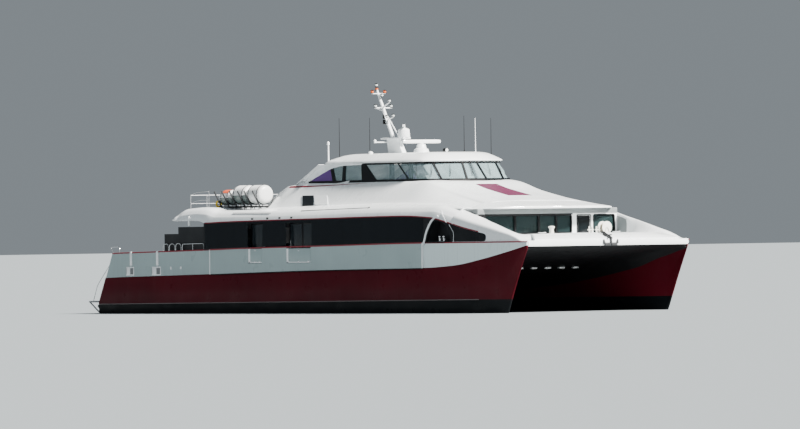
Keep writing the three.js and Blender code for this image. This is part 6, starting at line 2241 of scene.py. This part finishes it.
for side_name, side in SIDES.items():
    y = side * JET_Y
    bm = bmesh.new()
    add_jet_ring(bm, y, ((0.01, 0.5), (0.07, 0.5), (0.09, 0.49), (0.09, 0.43), (0.2, 0.40),
                         (0.235, 0.375), (0.25, 0.36), (0.25, 0.3), (0.14, 0.28)))
    for k in range(20):
        a = 2 * math.pi * k / 20
        cy, cz = y + 0.465 * math.cos(a), JET_Z + 0.465 * math.sin(a)
        add_round(bm, [((TRANSOM_X - 0.07, cy, cz), 0.016), ((TRANSOM_X - 0.11, cy, cz), 0.016)], 6)
    for z0, z1 in ((0.335, 0.375), (-0.375, -0.335)):
        add_block(bm, (TRANSOM_X - 0.39, y - 0.06, JET_Z + z0),
                  (TRANSOM_X - 0.15, y + 0.06, JET_Z + z1), bevel=0.01)
    add_block(bm, (TRANSOM_X - 0.08, y - 0.2, 0.3), (TRANSOM_X - 0.01, y + 0.2, 0.62), bevel=0.01)
    put(f"jet_housing_{side_name}_body", bm, JET_ALLOY,
        replaces=f"jet_housing_{side_name}")

    bm = bmesh.new()
    for y0 in (3.3, 5.0):
        corner = (GUARD_X, side * y0, 0.63)
        add_tube(bm, [(TRANSOM_X - 0.01, side * y0, 0.63), corner], 0.045, 12)
        add_tube(bm, [corner, (TRANSOM_X - 0.04, side * y0, -0.05)], 0.04, 12)
    add_tube(bm, [(GUARD_X, side * 5.0, 0.63), (GUARD_X, side * 3.3, 0.63)], 0.045, 12)
    bars = 14
    for k in range(bars):
        x = TRANSOM_X - 0.06 + (GUARD_X + 0.1 - TRANSOM_X) * k / (bars - 1)
        add_block(bm, (x - 0.012, side * 3.34, 0.6), (x + 0.012, side * 4.96, 0.655))
    for y0 in spread(3.55, 4.75, 4):
        add_block(bm, (GUARD_X + 0.02, side * y0 - 0.008, 0.598),
                  (TRANSOM_X - 0.01, side * y0 + 0.008, 0.65))
    put(f"jet_guard_{side_name}_grating", bm, GALV)

    bm = bmesh.new()
    add_jet_ring(bm, y, ((0.44, 0.32), (0.46, 0.33), (0.5, 0.32), (0.69, 0.268), (0.73, 0.27),
                         (0.75, 0.26), (0.75, 0.2), (0.5, 0.22)))
    for z in (0.28, -0.32):
        add_block(bm, (TRANSOM_X - 0.5, y - 0.05, JET_Z + z),
                  (TRANSOM_X - 0.31, y + 0.05, JET_Z + z + 0.04), bevel=0.01)
        add_turned(bm, (TRANSOM_X - 0.35, y, JET_Z + z), UP, ((-0.008, 0.035), (0.048, 0.035)))
    put(f"jet_nozzle_{side_name}_shell", bm, JET_ALLOY, f"nozzle_{side_name}",
        replaces=f"jet_nozzle_{side_name}")

    bm = bmesh.new()
    cheek = [(0.55, 0.05), (0.93, 0.3), (1.13, 0.3), (1.13, 0.42), (1.09, 0.46), (0.55, 0.46)]
    for flank in (-1, 1):
        middle = y + flank * 0.36
        add_across(bm, [(TRANSOM_X - dx, z) for dx, z in cheek], (middle - 0.02, middle + 0.02))
        add_turned(bm, (TRANSOM_X - 0.6, middle, 0.12), ACROSS, ((-0.03, 0.04), (0.03, 0.04)))
    rows = []
    for t in spread(0, 1, 8):
        x = TRANSOM_X - 0.6 - 0.52 * t
        z = 0.455 - 0.1 * t ** 5
        rows.append([(x, y - 0.36, z), (x, y + 0.36, z), (x, y + 0.36, z - 0.035),
                     (x, y - 0.36, z - 0.035)])
    add_solid(bm, rows)
    add_block(bm, (TRANSOM_X - 1.13, y - 0.36, 0.3), (TRANSOM_X - 1.095, y + 0.36, 0.37))
    put(f"jet_bucket_{side_name}_shell", bm, JET_ALLOY, f"bucket_{side_name}",
        replaces=f"jet_bucket_{side_name}")
print("two waterjets")

# %% [markdown]
# Last come the painted marks that are plain colour on the real boat, the blank maroon panel on
# the bonnet and the short red flash along its flank, and the small lamps on the sides.

# %% Bonnet marks and side lamps
def bonnet_point(x, y, lift=0.006):
    """Point on the upper shell's bonnet at x, y, found on its section line."""
    half = shell_half(x) + [(0.0, sill_z(x) + CAMBER)]
    for (y0, z0), (y1, z1) in zip(half[::-1], half[::-1][1:]):
        if y0 <= abs(y) <= y1:
            return Vector((x, y, z0 + (z1 - z0) * (abs(y) - y0) / max(y1 - y0, 1e-6) + lift))
    return Vector((x, y, half[0][1] + lift))


PANEL_CORNERS = ((9.18, -0.66), (9.18, 0.72), (11.91, 0.92), (11.91, -0.58))
bm = bmesh.new()
rows = []
a, b, c, d = PANEL_CORNERS
for s in spread(0, 1, 9):
    x = a[0] + (d[0] - a[0]) * s
    y0, y1 = a[1] + (d[1] - a[1]) * s, b[1] + (c[1] - b[1]) * s
    rows.append([bonnet_point(x, y0 + (y1 - y0) * w) for w in spread(0, 1, 9)])
add_sheet(bm, rows)
# small lamps over the boarding doors and a light bar at the aft end of the band
lamps = bmesh.new()
for side in SIDES.values():
    for x in (-4.06, -2.7, -1.6, -0.53):
        z = window_z(x) + 0.1
        y0, y1 = (side * (side_y(x, z) + out) for out in (-0.02, 0.05))
        add_block(lamps, (x - 0.07, y0, z - 0.05), (x + 0.07, y1, z + 0.05), 0, 0.015)
        add_block(lamps, (x - 0.05, y0, z - 0.065), (x + 0.05, y1, z - 0.048), 1)
    y0, y1 = (side * (side_y(-9.95, 4.95) + out) for out in (-0.05, 0.04))
    add_block(lamps, (-10.0, y0, 4.62), (-9.9, y1, 5.12), 1, 0.02)
put("side_lamps", lamps, [LAMP_BLACK, WHITE])
put("bonnet_maroon_panel", bm, PANEL_RED)

bm = bmesh.new()
for side in SIDES.values():
    rows = []
    for x in steps(-3.9, 2.98, 0.25):
        share = (x + 3.9) / 6.88
        centre = 6.56 + 0.03 * share + 0.09 * share * share
        half = 0.045 * (1 - share) + 0.004
        rows.append([shell_side_point(x, side, z, 3.4) for z in (centre - half, centre, centre + half)])
    add_sheet(bm, rows)
put("bonnet_red_flashes", bm, RED_LINE)
print("bonnet: one panel, two flashes; four lamps and a light bar on each side")
